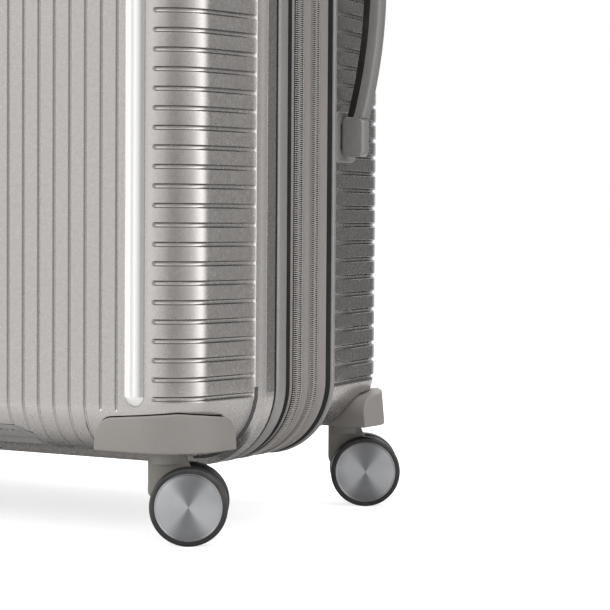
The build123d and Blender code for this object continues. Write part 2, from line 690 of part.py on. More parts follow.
def lock_case():
    """Bezel and case in one, with pockets for the dials, button and key cylinder."""
    bezel = extrude(lock_plane(LOCK_FACE - BEZEL_THICKNESS) * bezel_plan(), amount=BEZEL_THICKNESS)
    bezel = fillet(bezel.faces().sort_by(Axis.X)[-1].edges(), BEZEL_ROUND)
    case = extrude(lock_plane(LOCK_FACE - BEZEL_THICKNESS) * bezel_plan(-2 * LOCK_WALL), amount=-LOCK_DEPTH)
    shape = bezel + case
    for z in dial_heights():
        half = DIAL_THICKNESS / 2 + LAYER_GAP
        shape -= rod((DIAL_X, DIAL_Y, z - half), (0, 0, 1), DIAL_RADIUS + DIAL_GAP, 2 * half)
    ends = dial_heights()
    shape += rod((DIAL_X, DIAL_Y, ends[0] - DIAL_PITCH / 2), (0, 0, 1), DIAL_BORE, ends[-1] - ends[0] + DIAL_PITCH)
    width, height = (size + 2 * SLIDE_GAP for size in LOCK_BUTTON)
    shape -= Pos(LOCK_FACE, DIAL_Y, LOCK_BUTTON_Z) * Box(2 * (LOCK_DEPTH / 2 + LOCK_BUTTON_ROOM), width, height)
    shape -= rod((LOCK_FACE - LOCK_DEPTH / 2, KEY_Y, KEY_Z), (1, 0, 0), KEY_RADIUS + KEY_CLEARANCE, LOCK_DEPTH)
    for z in PULL_SLOT_Z:
        shape -= Pos(LOCK_FACE - PULL_SLOT_DEPTH, LOCK_Y[1], z) * Box(*PULL_SLOT)
    return shape


def lock_dial(z):
    """Thumb wheel with finger grooves, on the lock's pin."""
    dial = Pos(DIAL_X, DIAL_Y, z) * Cylinder(DIAL_RADIUS, DIAL_THICKNESS)
    reach = DIAL_RADIUS + DIAL_NOTCH_SETOUT
    for index in range(DIAL_NOTCHES):
        angle = radians(360 / DIAL_NOTCHES * (index + 0.5))
        x = DIAL_X + reach * cos(angle)
        y = DIAL_Y + reach * sin(angle)
        dial -= Pos(x, y, z) * Cylinder(DIAL_NOTCH_RADIUS, DIAL_THICKNESS + 1)
    return dial - Pos(DIAL_X, DIAL_Y, z) * Cylinder(DIAL_BORE + AXLE_CLEARANCE, DIAL_THICKNESS + 1)


def lock_button():
    """Release button of the lock."""
    length = LOCK_FACE + LOCK_BUTTON_PROUD - LOCK_BUTTON_START
    middle = LOCK_BUTTON_START + length / 2
    button = Pos(middle, DIAL_Y, LOCK_BUTTON_Z) * Box(length, *LOCK_BUTTON)
    return fillet(button.edges().filter_by(Axis.X), LOCK_BUTTON_ROUND)


def lock_key():
    """Key cylinder with its slot."""
    start = LOCK_FACE - LOCK_DEPTH / 2 + LAYER_GAP
    key = rod((start, KEY_Y, KEY_Z), (1, 0, 0), KEY_RADIUS, LOCK_FACE + KEY_PROUD - start)
    return key - Pos(LOCK_FACE, KEY_Y, KEY_Z) * Box(2 * KEY_SLOT_DEPTH, *KEY_SLOT)


# ================================================================ zip sliders
def slider(y, z):
    """Slider body with two ears and a pin, over the coil at depth y and height z."""
    base = HALF_WIDTH - COIL_TOP + SLIDER_LIFT
    body = box(
        (base, y - SLIDER_WIDTH / 2, z - SLIDER_LENGTH / 2),
        (base + SLIDER_HEIGHT, y + SLIDER_WIDTH / 2, z + SLIDER_LENGTH / 2),
    )
    body = fillet(body.edges().filter_by(Axis.X), SLIDER_ROUND)
    pin_x = base + SLIDER_HEIGHT + PIN_LIFT
    inner = PULL_EYE_WIDTH / 2 + LAYER_GAP
    for side in (-1, 1):
        near, far = sorted((y + side * inner, y + side * (inner + EAR_THICKNESS)))
        low = (base + SLIDER_HEIGHT - 1, near, z - EAR_HALF)
        body += box(low, (pin_x + EAR_HEIGHT, far, z + EAR_HALF))
    reach = inner + PIN_REACH
    return body + rod((pin_x, y - reach, z), (0, 1, 0), BRIDGE_RADIUS, 2 * reach)


def pull(y, z):
    """Pull tab that hangs from a slider's pin."""
    pin_x = HALF_WIDTH - COIL_TOP + SLIDER_LIFT + SLIDER_HEIGHT + PIN_LIFT
    half = PULL_THICKNESS / 2
    eye = rod((pin_x, y - PULL_EYE_WIDTH / 2, z), (0, 1, 0), BRIDGE_RADIUS + PULL_EYE_WALL, PULL_EYE_WIDTH)
    neck = box((pin_x - half, y - PULL_EYE_WIDTH / 2, z - PULL_NECK), (pin_x + half, y + PULL_EYE_WIDTH / 2, z))
    middle = z - (PULL_LENGTH + PULL_SHOULDER) / 2
    plan = Plane(origin=(pin_x - half, y, middle), x_dir=(0, 1, 0), z_dir=(1, 0, 0))
    outline = RectangleRounded(PULL_WIDTH, PULL_LENGTH - PULL_SHOULDER, PULL_ROUND)
    tab = extrude(plan * outline, amount=PULL_THICKNESS)
    hole = rod((pin_x, y - PULL_WIDTH, z), (0, 1, 0), BRIDGE_RADIUS + PIN_CLEARANCE, 2 * PULL_WIDTH)
    return eye + neck + tab - hole


# ================================================================ casters
def place_caster(shape, sign_x, sign_y):
    """Move a caster from its own frame (swivel axis on Z, trail along +X) to its corner at rest."""
    return Pos(sign_x * SWIVEL_X, sign_y * SWIVEL_Y, 0) * Rot(0, 0, REST_SWIVEL) * shape


def caster_fork():
    """Column, web and swivel stem of a caster."""
    top = HOUSING_BOTTOM - FORK_CLEARANCE
    upright = Plane(origin=(0, 0, 0), x_dir=(1, 0, 0), z_dir=(0, -1, 0))
    outline = [
        Pos(TRAIL, WHEEL_RADIUS) * Circle(FORK_AXLE_END).edge(),
        Pos(FORK_HEEL - FORK_RADIUS, FORK_HEEL_Z) * Circle(FORK_HEEL).edge(),
        Line((-FORK_RADIUS, top), (FORK_RADIUS, top)),
    ]
    web = extrude(upright * make_hull(outline), amount=FORK_WEB / 2, both=True)
    column = rod((0, 0, FORK_SHOULDER), (0, 0, 1), FORK_RADIUS, top - FORK_SHOULDER)
    stem = rod((0, 0, top - 1), (0, 0, 1), STEM_RADIUS, STEM_TOP - top + 1)
    bore = rod((TRAIL, -FORK_WEB, WHEEL_RADIUS), (0, 1, 0), AXLE_RADIUS + AXLE_CLEARANCE, 2 * FORK_WEB)
    return web + column + stem - bore


def wheel_cores():
    """Two wheel cores with dished faces, and the axle that both are pressed on."""
    radius = WHEEL_RADIUS - TYRE_THICKNESS
    solids = []
    for side in (-1, 1):
        inner = (TRAIL, side * WHEEL_INNER, WHEEL_RADIUS)
        outer = (TRAIL, side * WHEEL_OUTER, WHEEL_RADIUS)
        core = rod(inner, (0, side, 0), radius - PRESS_CLEARANCE, WHEEL_OUTER - WHEEL_INNER)
        core -= rod(outer, (0, -side, 0), radius - DISH_RIM, DISH_DEPTH)
        core -= rod(inner, (0, side, 0), AXLE_RADIUS + PRESS_CLEARANCE, AXLE_REACH - WHEEL_INNER + 0.1)
        solids.append(core)
    axle = rod((TRAIL, -AXLE_REACH, WHEEL_RADIUS), (0, 1, 0), AXLE_RADIUS, 2 * AXLE_REACH)
    return [*solids, axle]


def wheel_tyres():
    """The two tyres of a caster."""
    tyres = []
    for side in (-1, 1):
        start = (TRAIL, side * (WHEEL_INNER + TYRE_INSET), WHEEL_RADIUS)
        width = WHEEL_OUTER - WHEEL_INNER - TYRE_INSET - TYRE_SETBACK
        tyre = rod(start, (0, side, 0), WHEEL_RADIUS, width)
        tyre = fillet(tyre.edges().filter_by(GeomType.CIRCLE), TYRE_ROUND)
        tyres.append(tyre - rod(start, (0, side, 0), WHEEL_RADIUS - TYRE_THICKNESS, width))
    return tyres


# ================================================================ build
def rounded_bead(depth_in, y_range, radius, depth_out=0.0):
    """Ring whose outer edges are rounded."""
    solid = block(depth_out, *y_range)
    edges = at_depth(solid, y_range[0]) + at_depth(solid, y_range[1])
    return fillet(edges, radius) - block(depth_in, y_range[0], y_range[1])


def build_front():
    """Everything on the lid."""
    half_gap = PARTING_GAP / 2
    parting = MAIN_PARTING - half_gap
    outer = front_outer() + block(SHELL_STEP, FRONT_COLLAR_END, FRONT_BODY)
    inner = shell_inner(FRONT_COLLAR_END + 5, FRONT_BODY, FRONT_FACE, SHELL_WALL)
    shell = outer - inner - grooves(FRONT_BODY, FRONT_FACE)
    for bead in pillars():
        shell += bead
    for wall in both_sides(pocket_wall(outer)):
        shell += wall
    for space in both_sides(pocket_space()):
        shell -= space
    shell -= arch_block(POCKET_GAP)
    shell -= lock_space(LAYER_GAP)
    save("front_shell", shell)

    piping = ring(BEAD_DEPTH, RIM_DEPTH, FLANGE_REAR + LAYER_GAP, parting)
    save("front_piping", piping + rounded_bead(BEAD_DEPTH + 0.5, PIPING_BEAD, BEAD_ROUND))
    tape = ring(TAPE_TOP, BEAD_DEPTH - LAYER_GAP, FRONT_TAPE_START, parting)
    coil = ring(COIL_TOP, TAPE_TOP - LAYER_GAP, parting - COIL_HALF, parting)
    save("front_zip", tape, coil)

    lining = shell_inner(FRONT_LINING_START, FRONT_BODY, FRONT_FACE, SHELL_WALL + LINING_GAP)
    lining -= shell_inner(FRONT_LINING_START + 5, FRONT_BODY, FRONT_FACE, SHELL_WALL + LINING_GAP + LINING)
    clear = POCKET_GAP + SHELL_WALL + SCREW_HEAD + LINING_GAP
    for space in both_sides(housing_form(clear, drop=POCKET_DROP)):
        lining -= space
    lining -= arch_block(clear)
    lining -= lock_space(1.0)
    save("front_lining", lining)

    save("bottom_grip", bottom_grip())
    save("lock_case", lock_case())
    for name, z in zip(("lower", "middle", "upper"), dial_heights()):
        save(f"lock_dial_{name}", lock_dial(z))
    save("lock_button", lock_button())
    save("lock_key_cylinder", lock_key())


def arch_block(grow):
    """Arched space of the bottom grip, drawn out by grow."""
    half, top = GRIP_HALF + grow, GRIP_TOP + grow
    height = 2 * (top - RIM_BOTTOM + 30)
    upright = Plane(origin=(0, 2 * FRONT_FACE, top - height / 2), x_dir=(1, 0, 0), z_dir=(0, 1, 0))
    outline = RectangleRounded(2 * half, height, GRIP_ARCH + grow)
    return extrude(upright * outline, amount=GRIP_BACK + grow - 2 * FRONT_FACE)


def bottom_grip():
    """Moulded insert of the bottom grip, with a finger pocket and a row of dimples."""
    insert = arch_block(0) & dome(FRONT_BODY, FRONT_FACE, 0.2)
    pocket = box(
        (-GRIP_POCKET_HALF, 2 * FRONT_FACE, 0), (GRIP_POCKET_HALF, GRIP_POCKET_BACK, GRIP_POCKET_TOP)
    )
    insert -= pocket
    edge_z = RIM_BOTTOM + shell_side(REAR_BODY + (FRONT_BODY - FRONT_FACE - SHELL_EDGE)) + SHELL_EDGE
    edge_y = FRONT_FACE + SHELL_EDGE
    y = edge_y - sqrt(SHELL_EDGE**2 - (edge_z - GRIP_DIMPLE_Z) ** 2)
    first = -(GRIP_DIMPLE_COUNT - 1) / 2 * GRIP_DIMPLE_PITCH
    dimples = [
        Pos(first + index * GRIP_DIMPLE_PITCH, y, GRIP_DIMPLE_Z) * Sphere(GRIP_DIMPLE_RADIUS)
        for index in range(GRIP_DIMPLE_COUNT)
    ]
    return insert - Compound(children=dimples)


def build_middle():
    """The band between the two zips."""
    half_gap = PARTING_GAP / 2
    front, rear = MAIN_PARTING + half_gap, EXPANSION_PARTING - half_gap
    save("mid_frame", ring(BEAD_DEPTH, RIM_DEPTH, front, rear))
    tape = ring(TAPE_TOP, BEAD_DEPTH - LAYER_GAP, front, rear)
    tape -= block(0, *FOLD_GROOVE) - block(TAPE_TOP + 0.6, FOLD_GROOVE[0] - 1, FOLD_GROOVE[1] + 1)
    main = ring(COIL_TOP, TAPE_TOP - LAYER_GAP, front, front + COIL_HALF)
    expansion = ring(COIL_TOP + 0.3, TAPE_TOP - LAYER_GAP, rear - EXPANSION_COIL_HALF, rear)
    save("mid_zip", tape, main, expansion)
    inset = SHELL_STEP + SHELL_WALL + LINING_GAP
    save("expansion_gusset", ring(inset, inset + CLOTH, *GUSSET_Y))
    x = HALF_WIDTH - inset
    low = (-x, HINGE_STRIP_Y[0], RIM_BOTTOM + RIM_CORNER)
    strip = box(low, (-x + CLOTH, HINGE_STRIP_Y[1], RIM_TOP - RIM_CORNER))
    save("hinge_strip", strip)
    main_y = MAIN_PARTING
    save("upper_slider", slider(main_y, UPPER_SLIDER_Z))
    save("upper_pull", pull(main_y, UPPER_SLIDER_Z))
    save("lower_slider", slider(main_y, LOWER_SLIDER_Z))
    save("lower_pull", pull(main_y, LOWER_SLIDER_Z))


def build_rear():
    """Everything on the half that stands on the floor."""
    half_gap = PARTING_GAP / 2
    parting = EXPANSION_PARTING + half_gap
    outer = rear_outer()
    inner = shell_inner(REAR_COLLAR_END - 5, REAR_BODY, REAR_FACE, SHELL_WALL)
    shell = outer - inner - grooves(REAR_BODY, REAR_FACE)
    rear_pocket = mirror(pocket_wall(mirror(outer, about=Plane.XZ)), about=Plane.XZ)
    for wall in both_sides(rear_pocket):
        shell += wall
    for space in both_sides(mirror(pocket_space(), about=Plane.XZ)):
        shell -= space
    shell -= cup_space(LAYER_GAP)
    planes = [handle_plane(True), handle_plane(False)]
    for plane in planes:
        for hole in tongue_holes(SLIDE_GAP):
            shell -= plane.location * hole
    save("rear_shell", shell)

    rim = ring(BEAD_DEPTH, RIM_DEPTH, parting, REAR_BEAD[1])
    save("rear_rim", rim + rounded_bead(BEAD_DEPTH + 0.5, REAR_BEAD, BEAD_ROUND))
    tape = ring(TAPE_TOP, BEAD_DEPTH - LAYER_GAP, parting, REAR_TAPE_END)
    coil = ring(COIL_TOP + 0.3, TAPE_TOP - LAYER_GAP, parting, parting + EXPANSION_COIL_HALF)
    save("rear_zip", tape, coil)

    back = COVER_Y - LINING_GAP
    outside = dome(REAR_BODY, REAR_FACE, SHELL_WALL + LINING_GAP)
    outside &= box((-RIM_WIDTH, REAR_LINING_START, 0), (RIM_WIDTH, back, RIM_TOP))
    inside = dome(REAR_BODY, REAR_FACE, SHELL_WALL + LINING_GAP + LINING)
    inside &= box((-RIM_WIDTH, 0, 0), (RIM_WIDTH, back - LINING, RIM_TOP))
    lining = outside - inside
    clear = POCKET_GAP + SHELL_WALL + SCREW_HEAD + LINING_GAP
    for space in both_sides(mirror(housing_form(clear, drop=POCKET_DROP), about=Plane.XZ)):
        lining -= space
    lining -= cup_space(LINING_GAP)
    for plane in planes:
        for hole in tongue_holes(TONGUE_STOP + SLIDE_GAP):
            lining -= plane.location * hole
    save("rear_lining", lining)

    form = dome(REAR_BODY, REAR_FACE, -0.1)
    for name, plane in zip(("side", "top"), planes):
        save(f"{name}_handle_seats", *[plane.location * seat - form for seat in handle_seats()])
        save(f"{name}_handle", plane.location * handle_arch())
        save(f"{name}_handle_grip", plane.location * handle_grip())

    save("trolley_cup", trolley_cup())
    save("trolley_foot", trolley_foot())
    save("trolley_cover", trolley_cover())
    stages = (
        ("trolley_outer_tubes", OUTER_TUBE_BOTTOM, OUTER_TUBE_TOP),
        ("trolley_middle_tubes", MIDDLE_TUBE_BOTTOM, MIDDLE_TUBE_TOP),
        ("trolley_inner_tubes", INNER_TUBE_BOTTOM, INNER_TUBE_TOP),
    )
    for stage, (name, low, high) in enumerate(stages):
        width, depth, corner = tube_size(stage)
        save(name, *tube(width, depth, TUBE_WALL, corner, low, high))
    save("trolley_bar", trolley_bar())
    save("trolley_button", trolley_button())

    reach = HALF_WIDTH - SHELL_STEP - SHELL_WALL - LINING_GAP - LINING - STRAP_END_GAP
    arm = box(
        (BUCKLE[0] / 2 + LAYER_GAP, STRAP_Y, MID_Z - STRAP_WIDTH / 2),
        (reach, STRAP_Y + STRAP_THICKNESS, MID_Z + STRAP_WIDTH / 2),
    )
    save("packing_straps", *both_sides(arm))
    save("strap_buckle", Pos(0, STRAP_Y + STRAP_THICKNESS / 2, MID_Z) * Box(*BUCKLE))
    save("expansion_slider", slider(EXPANSION_PARTING, EXPANSION_SLIDER_Z))
    save("expansion_pull", pull(EXPANSION_PARTING, EXPANSION_SLIDER_Z))


def build_casters():
    """Housings, screws and casters at the four corners."""
    corners = {
        "front_right": (1, -1),
        "front_left": (-1, -1),
        "rear_right": (1, 1),
        "rear_left": (-1, 1),
    }
    for (name, signs), shape in zip(corners.items(), four_corners(housing())):
        save(f"housing_{name}", shape)
        save(f"fork_{name}", place_caster(caster_fork(), *signs))
        save(f"wheels_{name}", *[place_caster(solid, *signs) for solid in wheel_cores()])
        save(f"tyres_{name}", *[place_caster(solid, *signs) for solid in wheel_tyres()])
    screws = [four_corners(screw) for screw in housing_screws()]
    save("front_housing_screws", *[corner for group in screws for corner in group[:2]])
    save("rear_housing_screws", *[corner for group in screws for corner in group[2:]])


def main():
    """Write every sub-part."""
    os.makedirs("parts", exist_ok=True)
    build_front()
    build_middle()
    build_rear()
    build_casters()


main()
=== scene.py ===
"""Looks of an expandable hard shell suitcase on four casters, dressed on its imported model.

Lengths are in metres and angles in degrees, unless a name says otherwise. +Z is up, +X to the right
of the case, and the front panel faces -Y.
"""

from __future__ import annotations

import json
import logging
import math
from dataclasses import dataclass, field
from enum import Enum
from typing import Any, Iterable

import bmesh
import bpy
from bmesh.types import BMesh, BMFace, BMVert
from bpy.types import Node, NodeSocket as Socket, NodeTree, Object
from mathutils import Matrix, Vector, noise

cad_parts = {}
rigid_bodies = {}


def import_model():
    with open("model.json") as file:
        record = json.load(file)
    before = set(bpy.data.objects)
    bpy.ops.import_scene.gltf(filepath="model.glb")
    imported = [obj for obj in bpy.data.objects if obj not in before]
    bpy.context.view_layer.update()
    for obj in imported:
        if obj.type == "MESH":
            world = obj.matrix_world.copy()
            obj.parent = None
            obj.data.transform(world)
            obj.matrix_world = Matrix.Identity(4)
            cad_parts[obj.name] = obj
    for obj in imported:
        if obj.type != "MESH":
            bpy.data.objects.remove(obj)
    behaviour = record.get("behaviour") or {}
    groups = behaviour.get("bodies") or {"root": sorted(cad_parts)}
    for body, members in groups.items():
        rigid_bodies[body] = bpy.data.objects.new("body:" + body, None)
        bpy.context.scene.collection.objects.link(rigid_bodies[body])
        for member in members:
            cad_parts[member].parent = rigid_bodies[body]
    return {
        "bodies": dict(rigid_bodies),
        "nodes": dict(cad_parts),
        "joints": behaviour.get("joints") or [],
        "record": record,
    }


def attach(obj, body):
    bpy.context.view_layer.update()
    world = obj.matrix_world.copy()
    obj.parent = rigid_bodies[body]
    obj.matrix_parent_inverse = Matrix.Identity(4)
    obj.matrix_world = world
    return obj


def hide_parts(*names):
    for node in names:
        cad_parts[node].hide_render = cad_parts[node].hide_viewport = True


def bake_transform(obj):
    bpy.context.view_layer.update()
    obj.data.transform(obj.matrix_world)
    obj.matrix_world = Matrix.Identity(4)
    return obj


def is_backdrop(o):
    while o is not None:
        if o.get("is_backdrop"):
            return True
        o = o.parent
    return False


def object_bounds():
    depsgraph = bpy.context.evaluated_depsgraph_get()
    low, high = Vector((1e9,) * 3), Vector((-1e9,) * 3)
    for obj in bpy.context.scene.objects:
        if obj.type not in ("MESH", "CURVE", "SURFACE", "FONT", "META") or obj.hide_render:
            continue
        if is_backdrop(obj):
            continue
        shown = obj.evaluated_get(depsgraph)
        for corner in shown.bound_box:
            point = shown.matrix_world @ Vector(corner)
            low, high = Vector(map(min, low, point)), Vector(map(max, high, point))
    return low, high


LOG = logging.getLogger("suitcase")
Colour = tuple[float, float, float]
Vec = tuple[float, float, float]
Pairs = list[tuple[float, float]]

TINY = 1e-6  # lengths below this count as nothing
MERGE_DISTANCE = 2e-6  # corners of a frame mesh this close are one corner
PLACE_DIGITS = 7  # digits that tell the places of two new corners apart
MIDDLE_HEIGHT = 0.367  # middle of the rims above the floor
FLAT_WITHIN = 0.6  # facets that turn less than this, in degrees, are one face
DUST_COLOUR = (176, 170, 160)
DUST_PATCH = 0.05  # size of a patch of dust
DUST_ROUGHENS = 0.6  # roughness that full dust adds
TONE_ROUGHENS = 0.08  # roughness between a pattern's dark and light places
TURN_SCALE = 0.02  # V of a turned face's UV map for each radian of turn
SECTORS = 2  # times that the painted shade on a spun face goes from light to dark in one turn
SQUARE_LIMIT = 0.8  # sine of the furthest angle that level lines reach into a corner
DIAGONAL = 0.7071
CORNER_STEPS = 14  # grid cells of a shell round each corner
GROOVE_STEPS = (
    -1.0, -0.72, -0.44, 0.0, 0.44, 0.72, 1.0
)  # grid lines across a groove, in half widths
GROOVE_FOOT = 0.02  # share of the side, from the foot, that has no grooves
GROOVE_START, GROOVE_RISE = 0.4, 1.3  # depth share at the foot, and how fast it grows
RIB_END_STEPS = (
    -0.0009, -0.0004, 0.0002, 0.0009, 0.0018
)  # grid lines where the corner grooves end
RIB_END_REACH = 0.001
RIB_END_FADE = 0.0018  # length over which a corner groove runs out
FLUTE_END_STEPS = (-0.0012, -0.0004, 0.0004)  # grid lines where the short flutes end
FLUTE_END_FADE = 0.0012
FLUTE_FLANK = 0.3  # how much painted shade the flutes' sides get beside the corner grooves
TROUGH_FLOOR = 0.25  # half width of a groove's flat floor, as a share
# where across a groove the painted shade is strongest, and how far it spreads
FLANK_MIDDLE, FLANK_HALF = 0.66, 0.34
INNER_START = 0.00135  # what lies deeper than this in a shell is its inner wall
BEAD_SEGMENTS = 96
BEAD_BURIED = 0.0012  # how far a bead reaches into its shell
CROWN_WIDE, CROWN_TALL = 0.75, 0.55  # powers that round a crown's shoulders
SENSOR_WIDTH = 36.0  # millimetres


# ---------------------------------------------------------------- node trees
def linear(colour: Colour) -> tuple[float, float, float, float]:
    """Turn an 8 bit sRGB colour into the linear one that shaders work in.

    Args:
        colour: Red, green and blue from 0 to 255.

    Returns:
        Linear red, green, blue and alpha.
    """
    def channel(value: float) -> float:
        """Linear value of one channel."""
        value /= 255
        return value / 12.92 if value <= 0.04045 else ((value + 0.055) / 1.055) ** 2.4

    return (*(channel(value) for value in colour), 1.0)


class Tree:
    """Adds and wires the nodes of one material, world or node group."""

    def __init__(self, tree: NodeTree) -> None:
        """Keep the tree, emptied."""
        self.tree = tree
        tree.nodes.clear()

    def add(self, kind: str, inputs: dict[Any, Any] | None = None, **settings: Any) -> Node:
        """Add a node, set its properties and fill its inputs.

        Args:
            kind: Node type without the leading "ShaderNode", or a full type name.
            inputs: Input name or number, to a value or to the output socket that feeds it.
            settings: Properties of the node.

        Returns:
            The new node.
        """
        full = kind if kind.startswith("NodeGroup") else f"ShaderNode{kind}"
        node = self.tree.nodes.new(full)
        for name, value in settings.items():
            setattr(node, name, value)
        self.feed(node, inputs or {})
        return node

    def feed(self, node: Node, inputs: dict[Any, Any]) -> None:
        """Fill inputs of a node, by name or number, with values or the sockets that feed them."""
        for name, value in inputs.items():
            if isinstance(value, Socket):
                self.tree.links.new(value, node.inputs[name])
            else:
                node.inputs[name].default_value = value

    def math(self, operation: str, *values: Any, clamp: bool = False) -> Socket:
        """Add a Math node on the given values or sockets and give its result."""
        inputs = dict(enumerate(values))
        return self.add("Math", inputs, operation=operation, use_clamp=clamp).outputs[0]

    def times(self, first: Any, second: Any) -> Socket:
        """Multiply two values or sockets."""
        return self.math("MULTIPLY", first, second)

    def mix(
        self, factor: Any, first: Any, second: Any, kind: str = "RGBA", blend: str = "MIX"
    ) -> Socket:
        """Mix two colours or values by a factor and give the result."""
        node = self.add("Mix", data_type=kind, blend_type=blend)
        places = (0, 6, 7, 2) if kind == "RGBA" else (0, 2, 3, 0)
        self.feed(node, dict(zip(places, (factor, first, second))))
        return node.outputs[places[3]]

    def ramp(
        self, value: Any, low: float, high: float, start: float = 0.0, end: float = 1.0
    ) -> Socket:
        """Map a value smoothly from low..high to start..end, held at both ends."""
        inputs = {0: value, 1: low, 2: high, 3: start, 4: end}
        return self.add("MapRange", inputs, interpolation_type="SMOOTHSTEP").outputs[0]

    def group(self, tree: NodeTree, inputs: dict[str, Any] | None = None) -> Node:
        """Place a node group with its own values and give its node."""
        return self.add("Group", inputs, node_tree=tree)


# ---------------------------------------------------------------- shared surface effects
class Effects:
    """Node groups that several finishes share. Each is built once."""

    def __init__(self) -> None:
        """Build every group."""
        self.pebble = self._pebble()
        self.weave = self._weave()
        self.wear = self._wear()
        self.dust = self._dust()
        self.spun = self._spun()

    @staticmethod
    def _start(
        name: str, inputs: dict[str, Any], outputs: Iterable[str]
    ) -> tuple[Tree, Node, Node]:
        """Make an empty group with its sockets.

        Args:
            name: Name of the group.
            inputs: Input names and their defaults; a None default makes a vector input.
            outputs: Names of the value outputs.

        Returns:
            The tree, its input node and its output node.
        """
        tree = bpy.data.node_groups.new(name, "ShaderNodeTree")
        for label, default in inputs.items():
            kind = "NodeSocketVector" if default is None else "NodeSocketFloat"
            socket = tree.interface.new_socket(label, in_out="INPUT", socket_type=kind)
            if default is not None:
                socket.default_value = default
        for label in outputs:
            tree.interface.new_socket(label, in_out="OUTPUT", socket_type="NodeSocketFloat")
        wiring = Tree(tree)
        return wiring, wiring.add("NodeGroupInput"), wiring.add("NodeGroupOutput")

    def _pebble(self) -> NodeTree:
        """Fine moulded grain: small rounded bumps of uneven size."""
        tree, source, sink = self._start(
            "pebble_grain", {"Place": None, "Size": 0.001}, ("Height", "Tone")
        )
        scale = tree.math("DIVIDE", 1.0, source.outputs["Size"])
        cells = tree.add(
            "TexVoronoi", {"Vector": source.outputs["Place"], "Scale": scale, "Randomness": 1.0},
            feature="F1",
        )
        fine = tree.add(
            "TexNoise", {"Vector": source.outputs["Place"], "Scale": scale, "Detail": 2.0}
        )
        broad = tree.add(
            "TexNoise",
            {"Vector": source.outputs["Place"], "Scale": tree.times(scale, 0.22), "Detail": 1.0},
        )
        bumps = tree.ramp(cells.outputs["Distance"], 0.0, 0.75, 1.0, 0.0)
        height = tree.math("ADD", tree.times(bumps, 0.6), tree.times(fine.outputs["Fac"], 0.5))
        tree.feed(sink, {"Height": height, "Tone": broad.outputs["Fac"]})
        return tree.tree

    def _weave(self) -> NodeTree:
        """Plain weave on a piece's own UV map, which is in metres."""
        tree, source, sink = self._start(
            "plain_weave", {"Place": None, "Thread": 0.0005}, ("Height", "Tone")
        )
        split = tree.add("SeparateXYZ", {0: source.outputs["Place"]})
        turns = tree.math("DIVIDE", math.pi, source.outputs["Thread"])
        across = tree.math("SINE", tree.times(split.outputs[0], turns))
        along = tree.math("SINE", tree.times(split.outputs[1], turns))
        over = tree.times(across, along)
        height = tree.math("ABSOLUTE", over)
        stretched = tree.add(
            "Mapping", {"Vector": source.outputs["Place"], "Scale": (2.0, 0.12, 1.0)}
        )
        slub = tree.add("TexNoise", {"Vector": stretched.outputs[0], "Scale": 900.0, "Detail": 2.0})
        tone = tree.mix(0.5, tree.ramp(over, -1.0, 1.0), slub.outputs["Fac"], kind="FLOAT")
        tree.feed(sink, {"Height": height, "Tone": tone})
        return tree.tree

    def _wear(self) -> NodeTree:
        """Mask of the edges that get rubbed."""
        tree, source, sink = self._start("edge_wear", {"Place": None, "Radius": 0.001}, ("Mask",))
        rounded = tree.add("Bevel", {"Radius": source.outputs["Radius"]}, samples=4)
        plain = tree.add("NewGeometry")
        dot = tree.add(
            "VectorMath", {0: rounded.outputs[0], 1: plain.outputs["Normal"]},
            operation="DOT_PRODUCT",
        )
        edge = tree.ramp(dot.outputs["Value"], 0.995, 0.90)
        patches = tree.add(
            "TexNoise", {"Vector": source.outputs["Place"], "Scale": 60.0, "Detail": 5.0}
        )
        mask = tree.times(edge, tree.ramp(patches.outputs["Fac"], 0.35, 0.7))
        tree.feed(sink, {"Mask": mask})
        return tree.tree

    def _dust(self) -> NodeTree:
        """Mask of thin dust and handling marks in soft patches."""
        tree, source, sink = self._start("dust", {"Place": None, "Size": 0.05}, ("Mask",))
        scale = tree.math("DIVIDE", 1.0, source.outputs["Size"])
        patches = tree.add(
            "TexNoise",
            {"Vector": source.outputs["Place"], "Scale": scale, "Detail": 6.0, "Roughness": 0.6},
        )
        mask = tree.ramp(patches.outputs["Fac"], 0.4, 0.75)
        tree.feed(sink, {"Mask": mask})
        return tree.tree

    def _spun(self) -> NodeTree:
        """Fine rings of a turned face, on a UV map whose U is the radius in metres."""
        tree, source, sink = self._start(
            "spun_rings", {"Place": None, "Ring": 0.0003}, ("Height", "Tone")
        )
        split = tree.add("SeparateXYZ", {0: source.outputs["Place"]})
        radius = tree.add(
            "CombineXYZ", {0: split.outputs[0], 1: tree.times(split.outputs[1], 0.002)}
        )
        scale = tree.math("DIVIDE", 1.0, source.outputs["Ring"])
        rings = tree.add(
            "TexNoise",
            {"Vector": radius.outputs[0], "Scale": scale, "Detail": 4.0, "Roughness": 0.7},
        )
        tree.feed(sink, {"Height": rings.outputs["Fac"], "Tone": rings.outputs["Fac"]})
        return tree.tree


class Relief(Enum):
    """What the surface of a finish is covered with."""

    PEBBLE = "pebble"
    WEAVE = "weave"
    SPUN = "spun"


